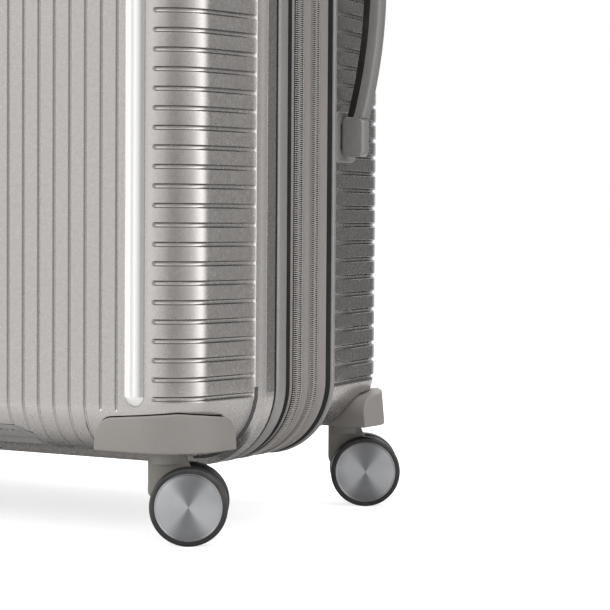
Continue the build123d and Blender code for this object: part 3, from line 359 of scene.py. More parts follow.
@dataclass(frozen=True)
class Finish:
    """A surface finish. Colours are 8 bit sRGB, sizes in metres."""

    name: str
    colour: Colour
    metallic: float = 0.0
    roughness: float = 0.5
    relief: Relief = Relief.PEBBLE
    size: float = 0.0006
    depth: float = 0.00002
    tone: float = 0.12
    wear: float = 0.25
    worn_colour: Colour = (190, 188, 185)
    dust: float = 0.1
    sheen: float = 0.0
    specular: float = 0.5
    anisotropy: float = 0.0
    wear_radius: float = 0.0006

    def build(self, effects: Effects) -> bpy.types.Material:
        """Make the material.

        Args:
            effects: The shared node groups.

        Returns:
            The new material.
        """
        material = bpy.data.materials.new(self.name)
        material.use_nodes = True
        tree = Tree(material.node_tree)
        place = tree.add("TexCoord").outputs["Object"]
        on_uv = self.relief in (Relief.WEAVE, Relief.SPUN)
        pattern_place = tree.add("UVMap", uv_map="flat").outputs[0] if on_uv else place
        keys = {
            Relief.PEBBLE: (effects.pebble, "Size"), Relief.WEAVE: (effects.weave, "Thread"),
            Relief.SPUN: (effects.spun, "Ring"),
        }
        group, key = keys[self.relief]
        pattern = tree.group(group, {"Place": pattern_place, key: self.size})
        edge = tree.group(
            effects.wear, {"Place": place, "Radius": self.wear_radius}
        ).outputs["Mask"]
        dust = tree.group(effects.dust, {"Place": place, "Size": DUST_PATCH}).outputs["Mask"]
        base = linear(self.colour)
        dark = tuple(channel * (1 - self.tone) for channel in base[:3]) + (1.0,)
        light = tuple(min(1.0, channel * (1 + self.tone)) for channel in base[:3]) + (1.0,)
        colour = tree.mix(pattern.outputs["Tone"], dark, light)
        colour = tree.mix(tree.times(edge, self.wear), colour, linear(self.worn_colour))
        colour = tree.mix(tree.times(dust, self.dust), colour, linear(DUST_COLOUR))
        rough = tree.math("ADD", self.roughness, tree.times(dust, self.dust * DUST_ROUGHENS))
        rough = tree.math(
            "ADD", rough,
            tree.times(tree.math("SUBTRACT", pattern.outputs["Tone"], 0.5), TONE_ROUGHENS),
        )
        height = self.shape_height(tree, place, pattern.outputs["Height"])
        bump = tree.add("Bump", {"Height": height, "Distance": self.depth, "Strength": 1.0})
        colour, rough = self.adjust(tree, place, colour, rough)
        shader = tree.add(
            "BsdfPrincipled",
            {
                "Base Color": colour, "Metallic": self.metallic, "Roughness": rough,
                "Normal": bump.outputs[0], "Sheen Weight": self.sheen,
                "Specular IOR Level": self.specular, "Anisotropic": self.anisotropy,
            },
        )
        if self.anisotropy:
            tangent = tree.add("Tangent", direction_type="UV_MAP", uv_map="flat")
            tree.feed(shader, {"Tangent": tangent.outputs[0]})
        tree.add("OutputMaterial", {"Surface": shader.outputs[0]})
        return material

    def shape_height(self, tree: Tree, place: Socket, height: Socket) -> Socket:
        """Give a finish the chance to smooth its relief somewhere."""
        return height

    def adjust(self, tree: Tree, place: Any, colour: Any, rough: Any) -> tuple[Any, Any]:
        """Give a finish the chance to change its colour and roughness somewhere."""
        return colour, rough


@dataclass(frozen=True)
class ShellFinish(Finish):
    """Grained metallic shell whose two long beads are left smooth and glossy, with painted shade on
    its grooves' sides and a painted highlight, a lighter colour, on its beads.
    """

    bead_x: float = 0.18
    bead_half: float = 0.0082
    bead_front: float = -0.1403
    bead_middle: float = MIDDLE_HEIGHT
    bead_reach: float = 0.279
    bead_roughness: float = 0.2
    # painted shade: how far the grooves' sides are darkened, and the colour they are darkened
    # towards
    grime: float = 0.9
    grime_colour: Colour = (60, 57, 54)
    # painted highlight: the beads' lighter colour stands in for their highlight
    bead_colour: Colour = (246, 245, 243)

    def bead_mask(self, tree: Tree, place: Socket) -> Socket:
        """Mask of the two beads."""
        split = tree.add("SeparateXYZ", {0: place})
        away = tree.math(
            "ABSOLUTE", tree.math("SUBTRACT", tree.math("ABSOLUTE", split.outputs[0]), self.bead_x)
        )
        across = tree.ramp(away, self.bead_half, self.bead_half - 0.0008)
        front = tree.ramp(split.outputs[1], self.bead_front + 0.0002, self.bead_front - 0.0003)
        from_middle = tree.math(
            "ABSOLUTE", tree.math("SUBTRACT", split.outputs[2], self.bead_middle)
        )
        along = tree.ramp(from_middle, self.bead_reach, self.bead_reach - 0.001)
        return tree.times(tree.times(across, front), along)

    def shape_height(self, tree: Tree, place: Socket, height: Socket) -> Socket:
        """Leave the beads smooth."""
        keep = tree.math("SUBTRACT", 1.0, self.bead_mask(tree, place))
        return tree.times(height, keep)

    def adjust(self, tree: Tree, place: Any, colour: Any, rough: Any) -> tuple[Any, Any]:
        """Paint shade on the grooves' sides, and leave the beads glossier with a painted highlight.
        """
        # painted shade on the grooves' sides, read from the groove mark of the skin
        grime = tree.ramp(
            tree.add("Attribute", attribute_name="groove").outputs["Fac"], 0.0, 0.6, 0.0, self.grime
        )
        colour = tree.mix(grime, colour, linear(self.grime_colour))
        # painted highlight on the beads, together with their lower roughness
        bead = self.bead_mask(tree, place)
        return tree.mix(bead, colour, linear(self.bead_colour)), tree.mix(
            bead, rough, self.bead_roughness, kind="FLOAT"
        )


@dataclass(frozen=True)
class SpunFinish(Finish):
    """Turned metal with painted shade above and below its middle, which stands in for the
    reflection of its rings.
    """

    # darkest level of the painted shade
    shade: float = 0.4

    def adjust(self, tree: Tree, place: Any, colour: Any, rough: Any) -> tuple[Any, Any]:
        """Paint shade on the upper and lower sectors."""
        turn = tree.add("SeparateXYZ", {0: tree.add("UVMap", uv_map="flat").outputs[0]}).outputs[1]
        swing = tree.math("COSINE", tree.times(turn, SECTORS / TURN_SCALE))
        painted_sector_shade = tree.ramp(swing, -1.0, 0.2, self.shade, 0.86)
        shaded = tree.add("VectorMath", {0: colour, "Scale": painted_sector_shade}, operation="SCALE").outputs[0]
        return shaded, rough


FINISHES = (
    ShellFinish(
        "shell_satin", (196, 192, 189), metallic=0.9, roughness=0.26, size=0.0007, depth=0.000022,
        wear=0.0, dust=0.03, tone=0.06,
    ),
    Finish(
        "shell_inside", (84, 83, 84), roughness=0.65, size=0.0008, depth=0.00002, wear=0.0,
        dust=0.03,
    ),
    Finish(
        "trim_satin", (148, 146, 144), metallic=0.25, roughness=0.36, size=0.0005, depth=0.000006,
        wear=0.2, dust=0.06,
    ),
    Finish(
        "housing_matte", (137, 132, 128), roughness=0.55, size=0.0006, depth=0.00002, wear=0.2,
        dust=0.08, tone=0.04,
    ),
    Finish(
        "zip_tape", (142, 136, 133), roughness=0.85, relief=Relief.WEAVE, size=0.00045,
        depth=0.00008, wear=0.0, dust=0.08, sheen=0.2, specular=0.2,
    ),
    Finish(
        "zip_tape_thread", (120, 118, 118), roughness=0.7, depth=0.00001, wear=0.0, dust=0.02,
        sheen=0.2,
    ),
    Finish(
        "zip_coil", (172, 168, 164), roughness=0.38, size=0.0004, depth=0.000005, wear=0.1,
        dust=0.05,
    ),
    Finish(
        "cloth_dark", (52, 52, 54), roughness=0.9, size=0.0005, depth=0.00008, wear=0.0, sheen=0.3,
        specular=0.2,
    ),
    Finish(
        "lining_cloth", (74, 73, 74), roughness=0.75, relief=Relief.WEAVE, size=0.0006,
        depth=0.00004, wear=0.0, dust=0.04, sheen=0.25, specular=0.3,
    ),
    Finish(
        "webbing", (48, 48, 50), roughness=0.8, relief=Relief.WEAVE, size=0.0012, depth=0.00025,
        wear=0.0, dust=0.06, sheen=0.3, specular=0.2,
    ),
    Finish(
        "seam_shadow", (30, 30, 31), roughness=0.8, depth=0.00001, wear=0.0, dust=0.02, specular=0.2
    ),
    Finish("digit_white", (214, 214, 210), roughness=0.6, depth=0.000005, wear=0.0, dust=0.05),
    Finish("hard_black", (38, 38, 39), roughness=0.5, wear=0.15, worn_colour=(90, 90, 90)),
    Finish(
        "grip_soft", (20, 20, 20), roughness=0.6, wear=0.1, worn_colour=(60, 60, 60), specular=0.4
    ),
    Finish("fork_matte", (152, 148, 143), roughness=0.5, wear=0.15, dust=0.08, tone=0.04),
    SpunFinish(
        "wheel_spun", (204, 205, 208), metallic=0.92, roughness=0.32, relief=Relief.SPUN,
        size=0.00025, depth=0.000004, wear=0.1, dust=0.03, anisotropy=0.85,
    ),
    Finish(
        "tyre_rubber", (34, 34, 35), roughness=0.48, wear=0.3, worn_colour=(84, 83, 82), dust=0.15
    ),
    Finish(
        "tube_anodised", (168, 165, 160), metallic=0.85, roughness=0.3, size=0.0004, depth=0.000004,
        wear=0.1,
    ),
    Finish("lock_satin", (126, 123, 119), metallic=0.3, roughness=0.4, size=0.0005, depth=0.00001),
    Finish(
        "bright_metal", (188, 186, 183), metallic=1.0, roughness=0.2, size=0.0004, depth=0.000003,
        wear=0.1,
    ),
    Finish(
        "screw_zinc", (150, 150, 150), metallic=1.0, roughness=0.35, size=0.0004, depth=0.000004
    ),
)

SLOT_FINISH = {
    "shell": "shell_satin", "trim": "trim_satin", "housing": "housing_matte", "zip": "zip_tape",
    "cloth": "cloth_dark", "hard_black": "hard_black", "grip": "grip_soft", "fork": "fork_matte",
    "wheel_face": "wheel_spun", "tyre": "tyre_rubber", "tube": "tube_anodised",
    "lock": "lock_satin", "bright": "bright_metal", "screw": "screw_zinc",
}


# ---------------------------------------------------------------- pieces
def new_object(name: str, shape: BMesh) -> Object:
    """Turn a bmesh, which is freed, into an object of the scene."""
    mesh = bpy.data.meshes.new(name)
    shape.to_mesh(mesh)
    shape.free()
    made = bpy.data.objects.new(name, mesh)
    bpy.context.scene.collection.objects.link(made)
    return made


def held(value: float) -> float:
    """Hold a value between 0 and 1."""
    return min(max(value, 0.0), 1.0)


class Workshop:
    """Holds the frame and the finishes, and puts finished pieces on their bodies."""

    def __init__(self) -> None:
        """Load the frame, note its box and build the finishes."""
        self.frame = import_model()
        self.cad_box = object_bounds()
        self.slots = {row["node"]: row["material_slot"] for row in self.frame["record"]["subparts"]}
        bodies = self.frame["record"]["behaviour"]["bodies"]
        self.body_of = {node: body for body, nodes in bodies.items() for node in nodes}
        effects = Effects()
        self.materials = {finish.name: finish.build(effects) for finish in FINISHES}

    def dress_nodes(self) -> None:
        """Give every node of the frame the finish of its slot."""
        for node, piece in self.frame["nodes"].items():
            piece.data.materials.clear()
            piece.data.materials.append(self.materials[SLOT_FINISH[self.slots[node]]])

    def piece(
        self, name: str, shape: BMesh, body: str | None, slot: str, finish: str | None = None,
        replaces: Iterable[str] = (), sharp: float | None = None,
    ) -> Object:
        """Turn a finished bmesh into a piece that rides on a body.

        Args:
            name: Name of the piece.
            shape: Its mesh, which is freed.
            body: CAD body that it rides on, or None for cloth, which then rides on no body.
            slot: Material slot of the record.
            finish: Name of its finish, where it isn't the slot's own.
            replaces: Nodes that it stands for.
            sharp: Edges that turn more than this angle are shaded sharp.

        Returns:
            The new object.
        """
        piece = new_object(name, shape)
        piece.data.materials.append(self.materials[finish or SLOT_FINISH[slot]])
        piece.data.shade_smooth()
        if sharp is not None:
            piece.data.set_sharp_from_angle(angle=math.radians(sharp))
        if body:
            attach(piece, body)
        if replaces:
            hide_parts(*replaces)
        LOG.info("%s: %d faces on %s", name, len(piece.data.polygons), body)
        return piece


@dataclass
class SoftenedPart:
    """Copy of a rigid node with rounded edges.

    narrow, where given, draws it in along Y: its old edge, its new edge and the share of its width
    that is kept.
    """

    node: str
    width: float = 0.0003
    segments: int = 2
    angle: float = 28.0
    narrow: Vec | None = None

    def build(self, shop: Workshop) -> Object:
        """Merge, round and place the copy.

        Args:
            shop: The workshop that holds the frame.

        Returns:
            The new piece.
        """
        shape = bmesh.new()
        shape.from_mesh(shop.frame["nodes"][self.node].data)
        bmesh.ops.remove_doubles(shape, verts=shape.verts, dist=MERGE_DISTANCE)
        bmesh.ops.dissolve_limit(
            shape, angle_limit=math.radians(FLAT_WITHIN), verts=shape.verts, edges=shape.edges
        )
        limit = math.radians(self.angle)
        sharp = [
            edge for edge in shape.edges
            if len(edge.link_faces) == 2 and edge.calc_face_angle(0) > limit
        ]
        bmesh.ops.bevel(
            shape, geom=sharp, offset=self.width, offset_type="OFFSET", segments=self.segments,
            profile=0.5, affect="EDGES", clamp_overlap=False, material=-1,
        )
        bmesh.ops.triangulate(shape, faces=[face for face in shape.faces if len(face.verts) > 4])
        if self.narrow:
            edge, start, share = self.narrow
            for vert in shape.verts:
                vert.co.y = start + (vert.co.y - edge) * share
        return shop.piece(
            f"{self.node}_soft", shape, shop.body_of[self.node], shop.slots[self.node],
            replaces=[self.node], sharp=40,
        )


# ---------------------------------------------------------------- shells
@dataclass
class Outline:
    """Rounded rectangle of the rims, seen from the front."""

    half_width: float = 0.230
    low: float = 0.044
    high: float = 0.690
    corner: float = 0.054

    @property
    def middle(self) -> float:
        """Height of the outline's middle."""
        return (self.low + self.high) / 2

    def side(self, height: float, inset: float, square: float) -> tuple[float, float]:
        """Point of the right side at a height that reaches a little into the corners.

        Args:
            height: Height of the line where the outline isn't drawn in.
            inset: How far the outline is drawn in.
            square: How far level lines reach into a corner.

        Returns:
            Half width and height of the point.
        """
        straight = (self.high - self.low) / 2 - self.corner
        over = abs(height - self.middle) - straight
        if over <= 0:
            return self.half_width - inset, height
        radius = self.corner - inset
        over *= min(1.0, SQUARE_LIMIT * radius / square)
        x = self.half_width - self.corner + math.sqrt(max(radius * radius - over * over, 0.0))
        return x, self.middle + math.copysign(straight + over, height - self.middle)

    def depth(self, x: float, z: float) -> float:
        """How far a point is inside the outline."""
        over_x = abs(x) - (self.half_width - self.corner)
        over_z = abs(z - self.middle) - ((self.high - self.low) / 2 - self.corner)
        if over_x > 0 and over_z > 0:
            return self.corner - math.hypot(over_x, over_z)
        return self.corner - max(over_x, over_z)


@dataclass
class SeamPath:
    """Walk round the rims, starting in the middle of the hinge side."""

    outline: Outline = field(default_factory=Outline)

    @property
    def length(self) -> float:
        """Length once round."""
        return sum(length for length, _, _ in self._runs())

    def _runs(self) -> list[tuple[float, Vector, float]]:
        """List each run's length, start or arc centre, and heading or first angle."""
        line = self.outline
        wide, tall = line.half_width - line.corner, (line.high - line.low) / 2 - line.corner
        arc = math.pi / 2 * line.corner
        runs: list[tuple[float, Vector, float]] = [
            (tall, Vector((-line.half_width, 0)), math.pi / 2)
        ]
        for turn, (x, z, straight) in enumerate(
            (
                (-wide, tall, 2 * wide), (wide, tall, 2 * tall), (wide, -tall, 2 * wide),
                (-wide, -tall, tall),
            )
        ):
            angle = math.pi - turn * math.pi / 2
            runs.append((arc, Vector((x, z)), angle))
            out = Vector((math.cos(angle - math.pi / 2), math.sin(angle - math.pi / 2)))
            runs.append((straight, Vector((x, z)) + out * line.corner, angle - math.pi))
        return runs

    def at(self, distance: float) -> tuple[Vector, Vector]:
        """Point of the outline and its outward direction, as X and Z.

        Args:
            distance: How far round the outline.

        Returns:
            The point and the unit vector out of the case.
        """
        distance %= self.length
        for index, (length, start, angle) in enumerate(self._runs()):
            if distance <= length or index == 8:
                break
            distance -= length
        if index % 2:
            turned = angle - distance / self.outline.corner
            out = Vector((math.cos(turned), math.sin(turned)))
            point = start + out * self.outline.corner
        else:
            heading = Vector((math.cos(angle), math.sin(angle)))
            out = Vector((-heading.y, heading.x))
            point = start + heading * distance
        return Vector((point.x, point.y + self.outline.middle)), out

    def frame(self, distance: float, y: float, depth: float) -> Matrix:
        """Place on the outline: local X runs along it, Y along the case and Z outwards."""
        point, out = self.at(distance)
        place = Vector((point.x - out.x * depth, y, point.y - out.y * depth))
        along = Vector((out.y, 0.0, -out.x))
        columns = (along, Vector((0, 1, 0)), Vector((out.x, 0, out.y)))
        turn = Matrix([[column[row] for column in columns] for row in range(3)]).to_4x4()
        return Matrix.Translation(place) @ turn

    def distances(self, straight: float = 0.03, turns: int = 24) -> list[float]:
        """Distances that follow the outline closely in its corners and loosely between them."""
        marks, start = [], 0.0
        for index, (length, _, _) in enumerate(self._runs()):
            count = turns if index % 2 else max(2, round(length / straight))
            marks += [start + length * step / count for step in range(count)]
            start += length
        return marks


@dataclass
class Station:
    """One line of the shell's grid, running from its foot to its face.

    kind is "side" at a fixed height, "end" at a fixed X, or "corner" at a share of the way round
    a corner.
    """

    kind: str
    value: float
    sign_x: float = 1.0
    sign_z: float = 1.0


@dataclass
class ShellSkin:
    """Outer skin of one shell: a drafted dome with grooves, cut for what sits in it."""

    node: str
    body: float
    face: float
    outline: Outline = field(default_factory=Outline)
    step: float = 0.006
    draft: float = 8.0
    edge: float = 0.033
    lip: tuple[float, float] | None = None
    thickness: float = 0.0017
    rib_pitch: float = 0.01216
    rib_count: int = 46
    rib_half: float = 0.0019
    rib_start: float = 0.1936
    flute_pitch: float = 0.01231
    flute_each_side: int = 14
    flute_half: float = 0.0013
    flute_short: int = 2
    flute_short_end: float = 0.085
    groove_depth: float = 0.0011
    beads: bool = False
    bead_x: float = 0.18
    bead_half: float = 0.0076
    bead_height: float = 0.0034
    bead_low: float = 0.088
    square_rows: float = 0.0072
    cutters: tuple[tuple[str, float, Vec], ...] = ()

    @property
    def facing(self) -> float:
        """Direction of the face along Y."""
        return 1.0 if self.face > self.body else -1.0

    def stations(self) -> list[Station]:
        """List the grid's lines round the outline, from the right side's foot anticlockwise."""
        heights = []
        for index in range(self.rib_count):
            centre = self.outline.middle + (index - (self.rib_count - 1) / 2) * self.rib_pitch
            heights += [centre + step * self.rib_half for step in GROOVE_STEPS]
        low_square = self.outline.low + self.outline.corner - self.square_rows
        heights = [low_square, *heights, 2 * self.outline.middle - low_square]
        columns = []
        for index in range(self.flute_each_side):
            centre = (index + 0.5) * self.flute_pitch
            columns += [centre + step * self.flute_half for step in GROOVE_STEPS]
        columns.append(self.outline.half_width - self.outline.corner)
        columns = [-x for x in reversed(columns)] + columns
        shares = [index / CORNER_STEPS for index in range(1, CORNER_STEPS)]
        rows: list[Station] = [Station("side", z, 1.0) for z in heights]
        rows += [Station("corner", share, 1.0, 1.0) for share in shares]
        rows += [Station("end", x, 1.0, 1.0) for x in reversed(columns)]
        rows += [Station("corner", 1 - share, -1.0, 1.0) for share in shares]
        rows += [Station("side", z, -1.0) for z in reversed(heights)]
        rows += [Station("corner", share, -1.0, -1.0) for share in shares]
        rows += [Station("end", x, 1.0, -1.0) for x in columns]
        rows += [Station("corner", 1 - share, 1.0, -1.0) for share in shares]
        return rows

    def place(self, station: Station, inset: float, y: float) -> Vector:
        """Point of a grid line where the outline is drawn in by inset."""
        line = self.outline
        if station.kind == "side":
            x, z = line.side(station.value, inset, self.square_rows)
            return Vector((station.sign_x * x, y, z))
        end = line.high - inset if station.sign_z > 0 else line.low + inset
        if station.kind == "end":
            return Vector((station.value, y, end))
        radius = line.corner - inset
        start = math.asin(min(self.square_rows / radius, SQUARE_LIMIT))
        angle = start + station.value * (math.pi / 2 - start)
        x = line.half_width - line.corner + radius * math.cos(angle)
        z = line.middle + station.sign_z * (
            (line.high - line.low) / 2 - line.corner + radius * math.sin(angle)
        )
        return Vector((station.sign_x * x, y, z))

    def profile(self, sink: float = 0.0, fine: bool = True) -> Pairs:
        """List the inset and Y of each grid loop from the lip to the face.

        Args:
            sink: How far the profile lies below the outer surface.
            fine: Whether it has the loops that the grooves need.

        Returns:
            Pairs of inset and Y.
        """
        toward = self.facing
        slope = math.tan(math.radians(self.draft))
        cosine, sine = math.cos(math.radians(self.draft)), math.sin(math.radians(self.draft))
        centre_y = self.face - toward * self.edge
        centre_inset = self.step + abs(centre_y - self.body) * slope + self.edge / cosine
        radius = self.edge - sink
        pairs: Pairs = []
        if self.lip:
            rear, front = self.lip
            pairs += [
                (sink, rear), (sink, front + toward * -0.0005), (sink + 0.0002, front),
                (sink + self.step * 0.5, (front + self.body) / 2),
            ]
            pairs += [
                (sink + self.step - 0.0003, self.body),
                (sink + self.step + 0.0001, self.body + toward * 0.0006),
            ]
        else:
            pairs += [(sink + self.step, self.body)]
        first = self.body + toward * 0.003
        last = centre_y + toward * self.edge * sine
        count = 7 if fine else 2
        for index in range(count):
            y = first + (last - first) * index / count
            pairs.append((self.step + abs(y - self.body) * slope + sink / cosine, y))
        turns = 90 - self.draft
        count = 20 if fine else 8
        extra = [self.rib_start + step for step in RIB_END_STEPS] if fine else []
        marks = [math.radians(turns * index / count) for index in range(count + 1)]
        for x in extra:
            reach = (centre_inset - (self.outline.half_width - x)) / radius
            if reach < 1:
                marks.append(math.acos(reach) - math.radians(self.draft))
        short = [self.flute_short_end + step for step in FLUTE_END_STEPS] if fine else []
        for z in short:
            reach = (centre_inset - (z - self.outline.low)) / radius
            marks.append(math.acos(reach) - math.radians(self.draft))
        for mark in sorted(marks):
            angle = mark + math.radians(self.draft)
            pairs.append(
                (
                    centre_inset - radius * math.cos(angle),
                    centre_y + toward * radius * math.sin(angle),
                )
            )
        return pairs

    def _loops(
        self, shape: BMesh, loop: list[BMVert], stations: list[Station], pairs: Pairs
    ) -> list[BMVert]:
        """Extrude a closed loop of vertices through a profile and give the last loop."""
        for inset, y in pairs:
            edges = [shape.edges.get((loop[index - 1], loop[index])) for index in range(len(loop))]
            made = bmesh.ops.extrude_edge_only(shape, edges=edges)["geom"]
            new = {
                item.co.to_tuple(PLACE_DIGITS): item for item in made if isinstance(item, BMVert)
            }
            follow = [new[vert.co.to_tuple(PLACE_DIGITS)] for vert in loop]
            for vert, station in zip(follow, stations):
                vert.co = self.place(station, inset, y)
            loop = follow
        return loop

    def _face(self, shape: BMesh, loop: list[BMVert], stations: list[Station]) -> None:
        """Close a loop with strips between its flutes and a flat face at each side."""
        top = {
            round(station.value, 6): vert for vert, station in zip(loop, stations)
            if station.kind == "end" and station.sign_z > 0
        }
        low = {
            round(station.value, 6): vert for vert, station in zip(loop, stations)
            if station.kind == "end" and station.sign_z < 0
        }
        columns = sorted(top)
        chains = []
        for row in (top, low):
            chains += [shape.edges.get((row[a], row[b])) for a, b in zip(columns, columns[1:])]
        bmesh.ops.bridge_loops(shape, edges=chains)
        for x in (columns[0], columns[-1]):
            rows = [vert for vert in loop if vert.co.x * x > 0 and abs(vert.co.x) >= abs(x) - TINY]
            bmesh.ops.contextual_create(
                shape,
                geom=[
                    edge for edge in shape.edges
                    if edge.verts[0] in rows and edge.verts[1] in rows and edge.is_boundary
                ],
            )

    def groove(self, place: Vector) -> tuple[float, float]:
        """How deep the grooves are at a point of the surface, and how steep their sides are there.

        Args:
            place: Point on the plain dome.

        Returns:
            Depth in metres and a share from 0 to 1 that is 1 on a groove's sides, where shade is
            painted.
        """
        x, z = abs(place.x), place.z
        run = (place.y - self.body) * self.facing / (abs(self.face - self.body) - self.edge)
        deep = min(GROOVE_START + GROOVE_RISE * run, 1.0) if run > GROOVE_FOOT else 0.0
        row = (z - self.outline.middle) / self.rib_pitch + (self.rib_count - 1) / 2
        nearest = min(max(round(row), 0), self.rib_count - 1)
        away = abs(row - nearest) * self.rib_pitch / self.rib_half
        if away < 1 and x > self.rib_start - RIB_END_REACH:
            deep *= held((x - self.rib_start + RIB_END_FADE / 2) / RIB_END_FADE)
            return deep * self.groove_depth * _trough(away), deep * _flank(away)
        column = x / self.flute_pitch - 0.5
        nearest = round(column)
        away = abs(column - nearest) * self.flute_pitch / self.flute_half
        if away >= 1 or nearest >= self.flute_each_side:
            return 0.0, 0.0
        if nearest >= self.flute_each_side - self.flute_short:
            short = self.flute_short_end - min(z, 2 * self.outline.middle - z)
            deep *= held(0.5 - short / FLUTE_END_FADE)
        return deep * self.groove_depth * _trough(away), deep * _flank(away) * FLUTE_FLANK

    def _carve(self, shape: BMesh) -> None:
        """Press the grooves into the outer surface and mark their sides for painted shade."""
        marks = shape.verts.layers.float.new("groove")
        shape.normal_update()
        for vert in shape.verts:
            depth, side = self.groove(vert.co)
            if depth or side:
                vert.co -= vert.normal * depth
                vert[marks] = side

    def _cutter(self, shop: Workshop, node: str, grow: float, reach: Vec) -> Object:
        """Convex block round a node, grown and drawn out, as a cutting tool."""
        shape = bmesh.new()
        shape.from_mesh(shop.frame["nodes"][node].data)
        if reach != (0.0, 0.0, 0.0):
            made = bmesh.ops.duplicate(
                shape, geom=shape.verts[:] + shape.edges[:] + shape.faces[:]
            )["geom"]
            bmesh.ops.translate(
                shape, vec=reach, verts=[item for item in made if isinstance(item, BMVert)]
            )
        bmesh.ops.remove_doubles(shape, verts=shape.verts, dist=1e-5)
        hull = bmesh.ops.convex_hull(shape, input=shape.verts)
        extra = {
            item for item in hull["geom_interior"] + hull["geom_unused"] if isinstance(item, BMVert)
        }
        bmesh.ops.delete(shape, geom=list(extra), context="VERTS")
        loose = [face for face in shape.faces if face not in set(hull["geom"])]
        bmesh.ops.delete(shape, geom=loose, context="FACES_ONLY")
        bmesh.ops.recalc_face_normals(shape, faces=shape.faces)
        bmesh.ops.dissolve_limit(
            shape, angle_limit=math.radians(1.5), verts=shape.verts, edges=shape.edges
        )
        shape.normal_update()
        moves = [(vert, vert.normal * grow * vert.calc_shell_factor()) for vert in shape.verts]
        for vert, move in moves:
            vert.co += move
        return new_object("cutter", shape)

    def _inside(self, shop: Workshop, shape: BMesh) -> None:
        """Add the node's own inner walls, without its outer surface."""
        source = bmesh.new()
        source.from_mesh(shop.frame["nodes"][self.node].data)
        bmesh.ops.remove_doubles(source, verts=source.verts, dist=MERGE_DISTANCE)
        outer = [
            face for face in source.faces
            if max(self.below(vert.co) for vert in face.verts) < INNER_START
        ]
        bmesh.ops.delete(source, geom=outer, context="FACES")
        for face in source.faces:
            face.material_index = 1
        put(shape, source, Matrix())

    def below(self, point: Vector) -> float:
        """How far a point lies below the outer surface."""
        inset = self.outline.depth(point.x, point.z)
        toward = self.facing
        along = (point.y - self.body) * toward
        if along < 0:
            if not self.lip:
                return inset - self.step
            front = (self.lip[1] - self.body) * toward
            return inset if along < front else (inset - (along - front)) * DIAGONAL
        cosine = math.cos(math.radians(self.draft))
        side = (inset - self.step - along * math.tan(math.radians(self.draft))) * cosine
        front = (self.face - point.y) * toward
        if side < self.edge and front < self.edge:
            return self.edge - math.hypot(self.edge - side, self.edge - front)
        return min(side, front)

    def _beads(self, shape: BMesh) -> None:
        """Add the two long half round beads."""
        radius = (self.bead_half**2 + self.bead_height**2) / (2 * self.bead_height)
        for side in (-1, 1):
            made = bmesh.ops.create_uvsphere(
                shape, u_segments=BEAD_SEGMENTS, v_segments=BEAD_SEGMENTS // 2, radius=radius
            )["verts"]
            bmesh.ops.rotate(
                shape, verts=made, cent=(0, 0, 0),
                matrix=Matrix.Rotation(math.pi / BEAD_SEGMENTS, 3, "Z"),
            )
            centre_y = self.face - self.bead_height + radius
            half = self.outline.middle - self.bead_low - self.bead_half
            for vert in made:
                vert.co.z += math.copysign(half, vert.co.z) if abs(vert.co.z) > 1e-7 else 0.0
            bmesh.ops.translate(
                shape, vec=(side * self.bead_x, centre_y, self.outline.middle), verts=made
            )
            hidden = [vert for vert in made if vert.co.y > self.face + BEAD_BURIED]
            bmesh.ops.delete(shape, geom=hidden, context="VERTS")

    def cut(self, shop: Workshop, shape: BMesh) -> BMesh:
        """Cut a closed skin with every cutter.

        Args:
            shop: The workshop that holds the frame.
            shape: The skin, which is freed.

        Returns:
            The cut skin.
        """
        skin = new_object("skin", shape)
        cutters = [self._cutter(shop, *cutter) for cutter in self.cutters]
        for cutter in cutters:
            cut = skin.modifiers.new("cut", "BOOLEAN")
            cut.operation, cut.solver, cut.object = "DIFFERENCE", "EXACT", cutter
        result = skin.evaluated_get(bpy.context.evaluated_depsgraph_get())
        shape = bmesh.new()
        shape.from_mesh(result.to_mesh())
        for tool in (skin, *cutters):
            bpy.data.objects.remove(tool)
        return shape

    def build(self, shop: Workshop) -> Object:
        """Build the skin, cut it and join the inner walls.

        Args:
            shop: The workshop that holds the frame.

        Returns:
            The new piece.
        """
        stations = self.stations()
        shape = bmesh.new()
        loop = bmesh.ops.create_circle(
            shape, cap_ends=False, segments=len(stations), radius=1.0
        )["verts"]
        outer = self.profile()
        for vert, station in zip(loop, stations):
            vert.co = self.place(station, *outer[0])
        starts = [vert.co.to_tuple(PLACE_DIGITS) for vert in loop]
        last = self._loops(shape, loop, stations, outer[1:])
        self._face(shape, last, stations)
        bmesh.ops.recalc_face_normals(shape, faces=shape.faces)
        self._carve(shape)
        inner = self.profile(self.thickness, fine=False)
        found = {vert.co.to_tuple(PLACE_DIGITS): vert for vert in shape.verts if vert.is_boundary}
        last = self._loops(shape, [found[start] for start in starts], stations, inner)
        self._face(shape, last, stations)
        bmesh.ops.recalc_face_normals(shape, faces=shape.faces)
        LOG.info(
            "%s skin: %d faces, %d open edges", self.node, len(shape.faces),
            sum(edge.is_boundary for edge in shape.edges),
        )
        shape = self.cut(shop, shape)
        self._inside(shop, shape)
        if self.beads:
            self._beads(shape)
        piece = shop.piece(
            f"{self.node}_skin", shape, shop.body_of[self.node], "shell", replaces=[self.node],
            sharp=35,
        )
        piece.data.materials.append(shop.materials["shell_inside"])
        even = piece.modifiers.new("even_shading", "WEIGHTED_NORMAL")
        even.weight, even.keep_sharp = 60, True
        return piece


def _trough(away: float) -> float:
    """Depth share of a rounded groove at a share of its half width."""
    return 0.5 + 0.5 * math.cos(math.pi * held((away - TROUGH_FLOOR) / (1 - TROUGH_FLOOR)))


def _flank(away: float) -> float:
    """How much of a groove's side, where shade is painted, is at a share of its half width."""
    return max(1.0 - abs(away - FLANK_MIDDLE) / FLANK_HALF, 0.0)


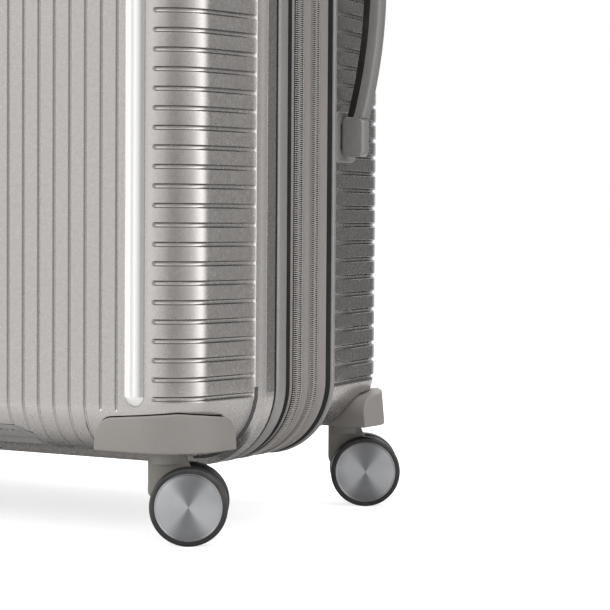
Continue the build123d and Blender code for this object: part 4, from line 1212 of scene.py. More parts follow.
# ---------------------------------------------------------------- seam
def sweep(shape: BMesh, path: SeamPath, profile: Pairs) -> None:
    """Run a closed cross section round the rims, with a UV map in metres.

    Args:
        shape: The bmesh that the band is added to.
        path: The line that it follows.
        profile: Y and depth below the rims' face of each point of the section.
    """
    marks = path.distances()
    flat = shape.loops.layers.uv.get("flat") or shape.loops.layers.uv.new("flat")
    frames = [path.at(mark) for mark in marks]
    loop = list(
        bmesh.ops.create_circle(shape, cap_ends=False, segments=len(marks), radius=1.0)["verts"]
    )

    def move(verts: list[BMVert], y: float, depth: float) -> None:
        """Set a ring of corners on the path, at a Y and a depth."""
        for vert, (point, out) in zip(verts, frames):
            vert.co = (point.x - out.x * depth, y, point.y - out.y * depth)

    move(loop, *profile[0])
    places: dict[BMVert, tuple[int, float]] = {}
    run = 0.0
    starts = [vert.co.to_tuple(PLACE_DIGITS) for vert in loop]
    faces: set[BMFace] = set()
    rings = []
    for last, (y, depth) in zip(profile, profile[1:]):
        edges = [shape.edges.get((loop[index - 1], loop[index])) for index in range(len(loop))]
        made = bmesh.ops.extrude_edge_only(shape, edges=edges)["geom"]
        new = {item.co.to_tuple(PLACE_DIGITS): item for item in made if isinstance(item, BMVert)}
        loop = [new[vert.co.to_tuple(PLACE_DIGITS)] for vert in loop]
        move(loop, y, depth)
        run += math.hypot(y - last[0], depth - last[1])
        places.update({vert: (index, run) for index, vert in enumerate(loop)})
        rings.append(loop)
        faces |= {item for item in made if isinstance(item, BMFace)}
    own = {vert for face in faces for vert in face.verts}
    found = {
        vert.co.to_tuple(PLACE_DIGITS): vert for vert in own
        if vert.is_boundary and vert not in places
    }
    first = [found[start] for start in starts]
    places.update({vert: (index, 0.0) for index, vert in enumerate(first)})
    for face in faces:
        wraps = {places[vert][0] for vert in face.verts} == {0, len(marks) - 1}
        for corner in face.loops:
            index, across = places[corner.vert]
            along = path.length if wraps and index == 0 else marks[index]
            corner[flat].uv = (along, across)
    closing = [
        shape.edges.get((ring[index - 1], ring[index])) for ring in (first, loop)
        for index in range(len(ring))
    ]
    made = bmesh.ops.bridge_loops(shape, edges=closing)["faces"]
    bmesh.ops.recalc_face_normals(shape, faces=list(faces) + made)


def crown(start: float, end: float, base: float, top: float, points: int = 9) -> Pairs:
    """Cross section of a band whose top is crowned.

    Args:
        start: Y of its first side.
        end: Y of its other side.
        base: Depth of its sides' feet.
        top: Depth of its middle.
        points: Points over its crown.

    Returns:
        Y and depth of each point, feet included.
    """
    middle, half = (start + end) / 2, (end - start) / 2
    angles = [math.pi * index / (points - 1) for index in range(points)]
    over = [
        (
            middle - half * math.copysign(abs(math.cos(a)) ** CROWN_WIDE, math.cos(a)),
            base - (base - top) * math.sin(a) ** CROWN_TALL,
        )
        for a in angles
    ]
    return [(start + 0.0001, base + 0.0008), *over, (end - 0.0001, base + 0.0008)]


@dataclass
class Tape:
    """Zip tape round the case, on which the coil halves are sewn."""

    name: str
    body: str
    profile: Pairs
    replaces: tuple[str, ...] = ()

    def build(self, shop: Workshop, path: SeamPath) -> Object:
        """Sweep the tape round the case."""
        shape = bmesh.new()
        sweep(shape, path, self.profile)
        return shop.piece(self.name, shape, self.body, "zip", replaces=self.replaces)


@dataclass
class CoilHalf:
    """One half of a zip's coil: a row of loops whose heads point at the parting."""

    name: str
    body: str
    outer: float
    head: float
    top: float
    shift: float = 0.0
    pitch: float = 0.0014
    width: float = 0.00098

    def template(self) -> bpy.types.Mesh:
        """One loop of the coil, along local Y from its sewn end to its head, its top at 0."""
        reach = self.head - self.outer
        shape = bmesh.new()
        lobes = ((0.15, 0.17, 0.0009, 3), (0.66, 0.37, 0.00125, 4))
        for middle, half, tall, rings in lobes:
            made = bmesh.ops.create_uvsphere(
                shape, u_segments=6, v_segments=rings, radius=1.0
            )["verts"]
            bmesh.ops.rotate(
                shape, verts=made, cent=(0, 0, 0), matrix=Matrix.Rotation(math.pi / 2, 3, "X")
            )
            bmesh.ops.scale(shape, verts=made, vec=(self.width / 2, abs(reach) * half, tall / 2))
            bmesh.ops.translate(
                shape, verts=made, vec=(0, reach * middle, -tall / 2 - (0.00125 - tall) * 0.4)
            )
        mesh = bpy.data.meshes.new("loop")
        shape.to_mesh(mesh)
        shape.free()
        return mesh

    def build(self, shop: Workshop, path: SeamPath) -> Object:
        """Set the loops side by side round the case."""
        count = round(path.length / self.pitch)
        step = path.length / count
        template = self.template()
        shape = bmesh.new()
        for index in range(count):
            place = path.frame((index + self.shift) * step, self.outer, self.top)
            template.transform(place)
            shape.from_mesh(template)
            template.transform(place.inverted())
        bpy.data.meshes.remove(template)
        return shop.piece(self.name, shape, self.body, "zip", finish="zip_coil")


class Seam:
    """Everything between the two shells: piping, tapes, coils and the rear rim."""

    def __init__(self) -> None:
        """Set the line that it follows."""
        self.path = SeamPath()

    def piping(self, shop: Workshop) -> None:
        """Piping bead of the lid with its foot."""
        foot = [(-0.0517, 0.0057), (-0.0517, 0.0034), (-0.0512, 0.0030)]
        bead = crown(-0.0488, -0.0350, 0.0030, 0.0)
        rest = [(-0.0345, 0.0030), (-0.0216, 0.0030), (-0.0212, 0.0034), (-0.0212, 0.0057)]
        shape = bmesh.new()
        sweep(shape, self.path, foot + bead[1:-1] + rest)
        shop.piece("piping_bead", shape, "front_half", "trim", replaces=["front_piping"])

    def rim(self, shop: Workshop) -> None:
        """Rear rim with its bead."""
        front = [(0.0014, 0.0057), (0.0014, 0.0034), (0.0018, 0.0030), (0.0228, 0.0030)]
        bead = crown(0.0234, 0.0290, 0.0030, 0.0, 7)
        shape = bmesh.new()
        sweep(shape, self.path, front + bead[1:] + [(0.0288, 0.0057)])
        shop.piece("rear_rim_band", shape, "rear_half", "trim", replaces=["rear_rim"])

    def tapes(self, shop: Workshop) -> None:
        """The three tapes."""
        low = 0.0027
        front = [
            (-0.0308, low), (-0.0307, 0.0014), (-0.0303, 0.0010), (-0.0298, 0.0009),
            (-0.0293, 0.0011), (-0.0290, 0.0015), (-0.0285, 0.0016), (-0.0215, 0.0016),
            (-0.0212, 0.0018), (-0.0212, low),
        ]
        middle = [
            (-0.0208, low), (-0.0208, 0.0018), (-0.0205, 0.0016), (-0.0150, 0.0016),
            (-0.0144, 0.0012), (-0.0110, 0.0011), (-0.0072, 0.0011), (-0.0064, 0.0014),
            (-0.0060, 0.0022), (-0.0040, 0.0022), (-0.0036, 0.0014), (-0.0032, 0.0012),
            (-0.0026, 0.0016), (0.0007, 0.0016), (0.0010, 0.0018), (0.0010, low),
        ]
        rear = [
            (0.0014, low), (0.0014, 0.0018), (0.0017, 0.0016), (0.0064, 0.0016), (0.0070, 0.0012),
            (0.0080, 0.0011), (0.0168, 0.0012), (0.0176, 0.0015), (0.0179, 0.0020), (0.0179, low),
        ]
        Tape("front_tape", "front_half", front, ("front_zip",)).build(shop, self.path)
        Tape("middle_tape", "mid_band", middle, ("mid_zip",)).build(shop, self.path)
        Tape("rear_tape", "rear_half", rear, ("rear_zip",)).build(shop, self.path)

    def shadows(self, shop: Workshop) -> None:
        """Dark bands of painted shadow in the gaps between the layers and under the coils."""
        # each band is a dark sheet that stands for the shade in its gap
        bands = (
            ("lip_gap", "front_half", -0.0519, -0.0486, 0.0029, 0.0006),
            ("piping_gap", "front_half", -0.0352, -0.0306, 0.0029, 0.0011),
            ("front_coil_shadow", "front_half", -0.0264, -0.0213, 0.0018, 0.0014),
            ("middle_coil_shadow", "mid_band", -0.0207, -0.0156, 0.0018, 0.0014),
            ("expansion_shadow_front", "mid_band", -0.0032, 0.0009, 0.0018, 0.0014),
            ("expansion_shadow_rear", "rear_half", 0.0015, 0.0056, 0.0018, 0.0014),
            ("rear_gap", "rear_half", 0.0178, 0.0236, 0.0029, 0.0011),
        )
        for name, body, start, end, low, top in bands:
            shape = bmesh.new()
            section = [
                (start, low), (start, top + 0.0002), (start + 0.0002, top), (end - 0.0002, top),
                (end, top + 0.0002), (end, low),
            ]
            sweep(shape, self.path, section)
            shop.piece(name, shape, body, "zip", finish="seam_shadow")

    def coils(self, shop: Workshop) -> None:
        """The four coil halves."""
        CoilHalf(
            "main_coil_front", "front_half", outer=-0.0268, head=-0.0204, top=0.0002
        ).build(shop, self.path)
        CoilHalf(
            "main_coil_rear", "mid_band", outer=-0.0152, head=-0.0216, top=0.0002, shift=0.5
        ).build(shop, self.path)
        CoilHalf(
            "expansion_coil_front", "mid_band", outer=-0.0034, head=0.0018, top=0.0005
        ).build(shop, self.path)
        CoilHalf(
            "expansion_coil_rear", "rear_half", outer=0.0058, head=0.0006, top=0.0005, shift=0.5
        ).build(shop, self.path)

    def build(self, shop: Workshop) -> None:
        """Build the whole seam."""
        self.piping(shop)
        self.rim(shop)
        self.tapes(shop)
        self.shadows(shop)
        self.coils(shop)


# ---------------------------------------------------------------- turned parts
def turned(points: Pairs, closed: bool, steps: int = 96) -> BMesh:
    """Turn a profile about the Y axis and lay a UV map on it, with the radius as U.

    Args:
        points: Radius and Y of each point.
        closed: Whether the last point joins the first.
        steps: Facets round the axis.

    Returns:
        The turned shape.
    """
    shape = bmesh.new()
    verts = [shape.verts.new((radius, y, 0.0)) for radius, y in points]
    edges = [shape.edges.new(pair) for pair in zip(verts, verts[1:])]
    if closed:
        edges.append(shape.edges.new((verts[-1], verts[0])))
    bmesh.ops.spin(
        shape, geom=verts + edges, cent=(0, 0, 0), axis=(0, 1, 0), dvec=(0, 0, 0), angle=math.tau,
        steps=steps, use_merge=True,
    )
    bmesh.ops.remove_doubles(shape, verts=shape.verts, dist=TINY)
    bmesh.ops.recalc_face_normals(shape, faces=shape.faces)
    flat = shape.loops.layers.uv.new("flat")
    for face in shape.faces:
        radii = [math.hypot(loop.vert.co.x, loop.vert.co.z) for loop in face.loops]
        turns = [
            math.atan2(loop.vert.co.z, loop.vert.co.x) for loop, radius in zip(face.loops, radii)
            if radius > TINY
        ]
        if max(turns) - min(turns) > math.pi:
            turns = [turn + math.tau if turn < 0 else turn for turn in turns]
        middle, rest = sum(turns) / len(turns), iter(turns)
        for loop, radius in zip(face.loops, radii):
            loop[flat].uv = (radius, (next(rest) if radius > TINY else middle) * TURN_SCALE)
    return shape


def rounded(
    inner: float, outer: float, start: float, end: float, radius: float, turns: int = 6
) -> Pairs:
    """Profile of a ring between two radii and two Y values, with its outer corners rounded."""
    points = [(inner, start)]
    for y, facing in ((start + radius, -1), (end - radius, 1)):
        for index in range(turns + 1):
            angle = math.pi / 2 * (index / turns if facing < 0 else 1 - index / turns)
            points.append(
                (outer - radius + radius * math.sin(angle), y + facing * radius * math.cos(angle))
            )
    return points + [(inner, end)]


def put(shape: BMesh, part: BMesh, place: Matrix) -> None:
    """Add a copy of a part to a shape at a place, and free the part."""
    part.transform(place)
    mesh = bpy.data.meshes.new("part")
    part.to_mesh(mesh)
    part.free()
    shape.from_mesh(mesh)
    bpy.data.meshes.remove(mesh)


@dataclass
class Caster:
    """Twin wheels of one corner. In their own frame the swivel axis is Z and the trail +X."""

    corner: str
    sign_x: float
    sign_y: float
    swivel: tuple[float, float] = (0.188, 0.1155)
    turn: float = 31.0
    trail: float = 0.0152
    radius: float = 0.025
    core: float = 0.02158
    inner: float = 0.008
    outer: float = 0.0214
    axle: float = 0.003
    tyre_round: float = 0.0021
    line_away: float = 0.0014  # from a tread's middle to each of its lines
    line_depth: float = 0.00035
    line_floor: float = 0.0001  # half width of a line's floor

    @property
    def place(self) -> Matrix:
        """Place of the wheels' middle."""
        corner = Matrix.Translation(
            (self.sign_x * self.swivel[0], self.sign_y * self.swivel[1], 0.0)
        )
        turned_by = Matrix.Rotation(math.radians(self.turn), 4, "Z")
        return corner @ turned_by @ Matrix.Translation((self.trail, 0.0, self.radius))

    def cores(self, shop: Workshop) -> None:
        """Spun discs, their hubs and the axle."""
        shape = bmesh.new()
        for side in (-1, 1):
            edge, out, back = self.core, self.outer, self.inner
            profile = [
                (0.0, out - 0.0006), (0.004, out - 0.00055), (0.012, out - 0.00045), (
                    edge - 0.0018, out - 0.0004
                ), (edge - 0.0014, out - 0.0006), (edge - 0.0010, out - 0.0006),
                (edge - 0.0007, out - 0.0002), (
                    edge - 0.0002, out - 0.0002
                ), (edge, out - 0.0005), (edge, back + 0.0006),
                (edge - 0.0006, back), (edge - 0.0034, back), (
                    edge - 0.0040, back + 0.0028
                ), (0.0072, back + 0.0028),
                (0.0064, back), (self.axle, back), (0.0, back),
            ]
            put(
                shape, turned([(radius, side * y) for radius, y in profile], closed=False),
                self.place,
            )
        axle = turned(
            [
                (0.0, -self.inner), (self.axle, -self.inner), (self.axle, self.inner),
                (0.0, self.inner),
            ],
            closed=False, steps=32,
        )
        put(shape, axle, self.place)
        shop.piece(
            f"discs_{self.corner}", shape, f"wheels_{self.corner}", "wheel_face",
            replaces=[f"wheels_{self.corner}"], sharp=30,
        )

    def tyres(self, shop: Workshop) -> None:
        """Tyres with two moulded lines round their treads."""
        shape = bmesh.new()
        for side in (-1, 1):
            start, end = self.inner + 0.0004, self.outer - 0.0005
            points = rounded(self.core + 0.00002, self.radius, start, end, self.tyre_round)
            middle = (start + end) / 2
            lines = []
            deep, floor = self.line_depth, self.line_floor
            for y in (middle - self.line_away, middle + self.line_away):
                lines += [
                    (self.radius, y - deep), (self.radius - deep, y - floor),
                    (self.radius - deep, y + floor), (self.radius, y + deep),
                ]
            cut = len(points) // 2
            points = points[:cut] + lines + points[cut:]
            put(
                shape, turned([(radius, side * y) for radius, y in points], closed=True), self.place
            )
        shop.piece(
            f"treads_{self.corner}", shape, shop.body_of[f"tyres_{self.corner}"], "tyre",
            replaces=[f"tyres_{self.corner}"], sharp=30,
        )

    def build(self, shop: Workshop) -> None:
        """Build the wheels and soften the fork."""
        self.cores(shop)
        self.tyres(shop)
        SoftenedPart(f"fork_{self.corner}", 0.0007, 3).build(shop)


# ---------------------------------------------------------------- lock
@dataclass
class Digits:
    """Numbers round the three thumb wheels of the lock."""

    heights: dict[str, float]
    axis: tuple[float, float] = (0.2256, -0.074)
    radius: float = 0.009
    size: float = 0.0042
    raised: float = 0.00012

    def build(self, shop: Workshop) -> None:
        """Set ten numbers round each wheel, between its notches."""
        for node, height in self.heights.items():
            shape = bmesh.new()
            for number in range(10):
                curve = bpy.data.curves.new("number", "FONT")
                curve.body, curve.size, curve.extrude = str(number), self.size, self.raised
                curve.align_x, curve.align_y, curve.resolution_u = "CENTER", "CENTER", 4
                text = bpy.data.objects.new("number", curve)
                mesh = bpy.data.meshes.new_from_object(text)
                upright = Matrix.Rotation(math.pi / 2, 4, "Z") @ Matrix.Rotation(
                    math.pi / 2, 4, "X"
                )
                turn = Matrix.Rotation(math.tau * number / 10, 4, "Z")
                mesh.transform(
                    Matrix.Translation(
                        (*self.axis, height)
                    ) @ turn @ Matrix.Translation((self.radius, 0, 0)) @ upright
                )
                shape.from_mesh(mesh)
                bpy.data.meshes.remove(mesh)
                bpy.data.objects.remove(text)
                bpy.data.curves.remove(curve)
            shop.piece(
                f"{node}_numbers", shape, shop.body_of[node], "hard_black", finish="digit_white"
            )


# ---------------------------------------------------------------- cloth
def refine(shape: BMesh, longest: float, rounds: int = 8) -> None:
    """Split a closed shape into small triangles without changing its form."""
    bmesh.ops.remove_doubles(shape, verts=shape.verts, dist=TINY)
    bmesh.ops.triangulate(shape, faces=shape.faces)
    for _ in range(rounds):
        long = [edge for edge in shape.edges if edge.calc_length() > longest]
        if not long:
            return
        bmesh.ops.subdivide_edges(shape, edges=long, cuts=1)
        bmesh.ops.triangulate(shape, faces=shape.faces)


@dataclass
class Lining:
    """Cloth lining that follows the inside of a shell in soft, shallow folds."""

    node: str
    rests_on: str
    hem: float
    flat: tuple[float, float]
    fold: float = 0.0014
    longest: float = 0.02
    hem_reach: float = 0.02  # distance from the hem at which the folds are full
    broad_folds: Vec = (9, 22, 5)  # folds in a metre along X, Y and Z
    fine_folds: Vec = (40, 60, 22)
    broad_share: float = 0.65
    fine_share: float = 0.35

    @staticmethod
    def wave(place: Vector, folds: Vec) -> float:
        """Height of the folds at a place, from 0 to 1."""
        return 0.5 + 0.5 * noise.noise(Vector([part * many for part, many in zip(place, folds)]))

    def fold_in(self, shape: BMesh) -> None:
        """Draw the cloth in along shallow folds, both of its sides alike."""
        for vert in shape.verts:
            inward = (Vector((0.0, 0.0, MIDDLE_HEIGHT)) - vert.co).normalized()
            free = min(abs(vert.co.y - self.hem) / self.hem_reach, 1.0)
            broad, fine = self.wave(vert.co, self.broad_folds), self.wave(vert.co, self.fine_folds)
            vert.co += inward * free * self.fold * (
                self.broad_share * broad + self.fine_share * fine
            )

    def build(self, shop: Workshop) -> Object:
        """Args:
            shop: The workshop that holds the frame.

        Returns:
            The new piece.
        """
        shape = bmesh.new()
        shape.from_mesh(shop.frame["nodes"][self.node].data)
        refine(shape, self.longest)
        self.fold_in(shape)
        area = sum(face.calc_area() for face in shape.faces) / 2
        lay_flat(shape)
        piece = shop.piece(
            f"{self.node}_cloth", shape, shop.body_of[self.node], "cloth", finish="lining_cloth",
            replaces=[self.node], sharp=50,
        )
        return piece


def lay_flat(shape: BMesh) -> None:
    """Lay a UV map in metres on a shape, each face along the axis that it faces most."""
    flat = shape.loops.layers.uv.get("flat") or shape.loops.layers.uv.new("flat")
    for face in shape.faces:
        size = [abs(value) for value in face.normal]
        axis = size.index(max(size))
        for loop in face.loops:
            kept = [value for index, value in enumerate(loop.vert.co) if index != axis]
            loop[flat].uv = kept


@dataclass
class Gusset:
    """Pleated cloth behind the expansion zip."""

    top: float = 0.0089
    thickness: float = 0.001
    fold: float = 0.0062
    ends: tuple[float, float] = (-0.018, 0.0255)
    folds: int = 2
    points: int = 24  # along the cross section
    overlap: float = 0.003  # from the cloth's edge to where it starts to follow its body

    def section(self) -> Pairs:
        """Cross section: Y and depth of each point, both sides of the cloth."""
        start, end = self.ends
        line = []
        for index in range(self.points + 1):
            share = index / self.points
            wave = 0.5 - 0.5 * math.cos(math.tau * self.folds * share)
            line.append((start + (end - start) * share, self.top + self.fold * wave))
        return line + [(y, depth + self.thickness) for y, depth in reversed(line)]

    def build(self, shop: Workshop, path: SeamPath) -> None:
        """Sweep the cloth, on no body."""
        shape = bmesh.new()
        sweep(shape, path, self.section())
        area = sum(face.calc_area() for face in shape.faces) / 2
        piece = shop.piece(
            "expansion_pleats", shape, None, "cloth", finish="lining_cloth",
            replaces=["expansion_gusset"],
        )
        area / path.length
        path.length
        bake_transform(piece)


@dataclass
class HingeStrip:
    """Cloth hinge inside the left side."""

    x: float = -0.2206
    thickness: float = 0.001
    ends: tuple[float, float] = (-0.0445, -0.0185)
    low: float = 0.098
    high: float = 0.636

    def build(self, shop: Workshop) -> None:
        """Build the strip, on no body."""
        start, end = self.ends
        shape = bmesh.new()
        bmesh.ops.create_grid(shape, x_segments=20, y_segments=48, size=0.5)
        bmesh.ops.scale(shape, verts=shape.verts, vec=(end - start, self.high - self.low, 1.0))
        turn = Matrix(((0, 0, 1, 0), (1, 0, 0, 0), (0, 1, 0, 0), (0, 0, 0, 1)))
        bmesh.ops.transform(shape, verts=shape.verts, matrix=turn)
        bmesh.ops.translate(
            shape, verts=shape.verts,
            vec=(self.x - self.thickness / 2, (start + end) / 2, (self.low + self.high) / 2),
        )
        bmesh.ops.solidify(shape, geom=shape.faces[:], thickness=-self.thickness)
        bmesh.ops.recalc_face_normals(shape, faces=shape.faces)
        lay_flat(shape)
        piece = shop.piece(
            "hinge_cloth", shape, None, "cloth", finish="lining_cloth", replaces=["hinge_strip"],
            sharp=50,
        )
        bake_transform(piece)


@dataclass
class PackingStraps:
    """Two webbing arms joined by a side release buckle."""

    y: float = 0.0337
    thickness: float = 0.0014
    width: float = 0.025
    reach: tuple[float, float] = (0.0233, 0.2193)
    buckle: Vec = (0.046, 0.008, 0.034)
    middle: float = MIDDLE_HEIGHT
    sewn_length: float = 0.030
    sewn_rise: float = 0.0012
    stitch_margin: float = 0.003
    stitch_span: tuple[float, float] = (0.027, 0.004)  # from an arm's outer end
    stitch_pitch: float = 0.0026
    stitch_size: Vec = (0.0005, 0.0004, 0.0018)

    def plate(self, low: Vec, high: Vec, rounding: float, segments: int = 2) -> BMesh:
        """Plate between two corners with rounded edges."""
        part = bmesh.new()
        bmesh.ops.create_cube(part, size=1.0)
        bmesh.ops.scale(part, verts=part.verts, vec=[b - a for a, b in zip(low, high)])
        bmesh.ops.translate(part, verts=part.verts, vec=[(a + b) / 2 for a, b in zip(low, high)])
        bmesh.ops.bevel(
            part, geom=part.edges[:], offset=rounding, offset_type="OFFSET", segments=segments,
            profile=0.5, affect="EDGES", clamp_overlap=True, material=-1,
        )
        return part

    def webbing(self, shop: Workshop) -> None:
        """Both arms, with the folded and sewn end of each."""
        shape = bmesh.new()
        half, back, front = self.width / 2, self.y + self.thickness / 2, self.y - self.thickness / 2
        inner, outer = self.reach
        for side in (-1, 1):
            near, far = sorted((side * inner, side * outer))
            part = self.plate(
                (near, front, self.middle - half), (far, back, self.middle + half), 0.0004
            )
            bmesh.ops.subdivide_edges(
                part, edges=[edge for edge in part.edges if edge.calc_length() > 0.1], cuts=24
            )
            put(shape, part, Matrix())
            near, far = sorted((side * (outer - self.sewn_length), side * outer))
            put(
                shape,
                self.plate(
                    (near, front - self.sewn_rise, self.middle - half),
                    (far, front, self.middle + half), 0.0004,
                ),
                Matrix(),
            )
        lay_flat(shape)
        shop.piece(
            "strap_webbing", shape, shop.body_of["packing_straps"], "cloth", finish="webbing",
            replaces=["packing_straps"], sharp=40,
        )

    def stitches(self, shop: Workshop) -> None:
        """Boxed cross of stitches on each sewn end."""
        shape = bmesh.new()
        half = self.width / 2 - self.stitch_margin
        front = self.y - self.thickness / 2 - self.sewn_rise
        for side in (-1, 1):
            left, right = sorted(side * (self.reach[1] - away) for away in self.stitch_span)
            corners = [
                (left, -half), (right, -half), (right, half), (left, half), (left, -half),
                (right, half), (right, -half), (left, half),
            ]
            for (x1, z1), (x2, z2) in zip(corners, corners[1:]):
                run = math.hypot(x2 - x1, z2 - z1)
                count = max(2, round(run / self.stitch_pitch))
                for index in range(count):
                    share = (index + 0.5) / count
                    part = bmesh.new()
                    bmesh.ops.create_uvsphere(part, u_segments=6, v_segments=4, radius=0.5)
                    bmesh.ops.scale(part, verts=part.verts, vec=self.stitch_size)
                    turn = Matrix.Rotation(math.atan2(x2 - x1, z2 - z1), 4, "Y")
                    spot = (x1 + (x2 - x1) * share, front, self.middle + z1 + (z2 - z1) * share)
                    put(shape, part, Matrix.Translation(spot) @ turn)
        shop.piece(
            "strap_stitches", shape, shop.body_of["packing_straps"], "cloth",
            finish="zip_tape_thread",
        )

    def clasp(self, shop: Workshop) -> None:
        """Side release buckle: a socket, a plug with two prongs and the webbing bars."""
        wide, deep, tall = (size / 2 for size in self.buckle)
        shape = bmesh.new()
        front, back = self.y - deep, self.y + deep
        low, high = self.middle - tall, self.middle + tall

        def lay(start: Vec, end: Vec, rounding: float, segments: int = 3) -> None:
            """Add one plate of the buckle."""
            put(shape, self.plate(start, end, rounding, segments), Matrix())

        lay((-wide * 0.15, front, low + 0.002), (wide * 0.62, back, high - 0.002), 0.0022)
        lay(
            (-wide * 0.62, front + 0.0008, low + 0.0035),
            (-wide * 0.2, back - 0.0008, high - 0.0035), 0.0018,
        )
        for end in (-1, 1):
            near, far = sorted((end * wide, end * (wide - 0.0035)))
            lay((near, front + 0.0012, low + 0.003), (far, back - 0.0012, high - 0.003), 0.0012)
            for edge in (-1, 1):
                under, over = sorted(self.middle + edge * (tall - away) for away in (0.003, 0.0065))
                near, far = sorted((end * wide * 0.55, end * (wide - 0.001)))
                lay((near, front + 0.0012, under), (far, back - 0.0012, over), 0.001)
        for edge in (-1, 1):
            under, over = sorted(self.middle + edge * (tall - away) for away in (0.0, 0.0048))
            lay((-wide * 0.2, front + 0.0016, under), (wide * 0.42, back - 0.0016, over), 0.0016)
        lay(
            (wide * 0.02, front, self.middle - 0.006),
            (wide * 0.45, front + 0.0008, self.middle + 0.006), 0.0003, 2,
        )
        shop.piece(
            "strap_clasp", shape, shop.body_of["strap_buckle"], "hard_black",
            replaces=["strap_buckle"], sharp=40,
        )

    def build(self, shop: Workshop) -> None:
        """Build webbing, stitches and buckle."""
        self.webbing(shop)
        self.stitches(shop)
        self.clasp(shop)


# ---------------------------------------------------------------- studio
@dataclass
class Lamp:
    """Large soft light that faces the case. Azimuth 0 is on -Y and grows towards +X."""

    name: str
    azimuth: float
    elevation: float
    distance: float
    width: float
    height: float
    radiance: float

    def build(self, target: Vector) -> None:
        """Add the lamp.

        Args:
            target: Point that it faces.
        """
        data = bpy.data.lights.new(self.name, "AREA")
        data.shape = "RECTANGLE"
        data.size, data.size_y = self.width, self.height
        data.energy = self.radiance * math.pi * self.width * self.height
        lamp = bpy.data.objects.new(self.name, data)
        bpy.context.scene.collection.objects.link(lamp)
        turn, rise = math.radians(self.azimuth), math.radians(self.elevation)
        away = Vector(
            (math.sin(turn) * math.cos(rise), -math.cos(turn) * math.cos(rise), math.sin(rise))
        )
        lamp.location = target + away * self.distance
        lamp.rotation_euler = away.to_track_quat("Z", "Y").to_euler()


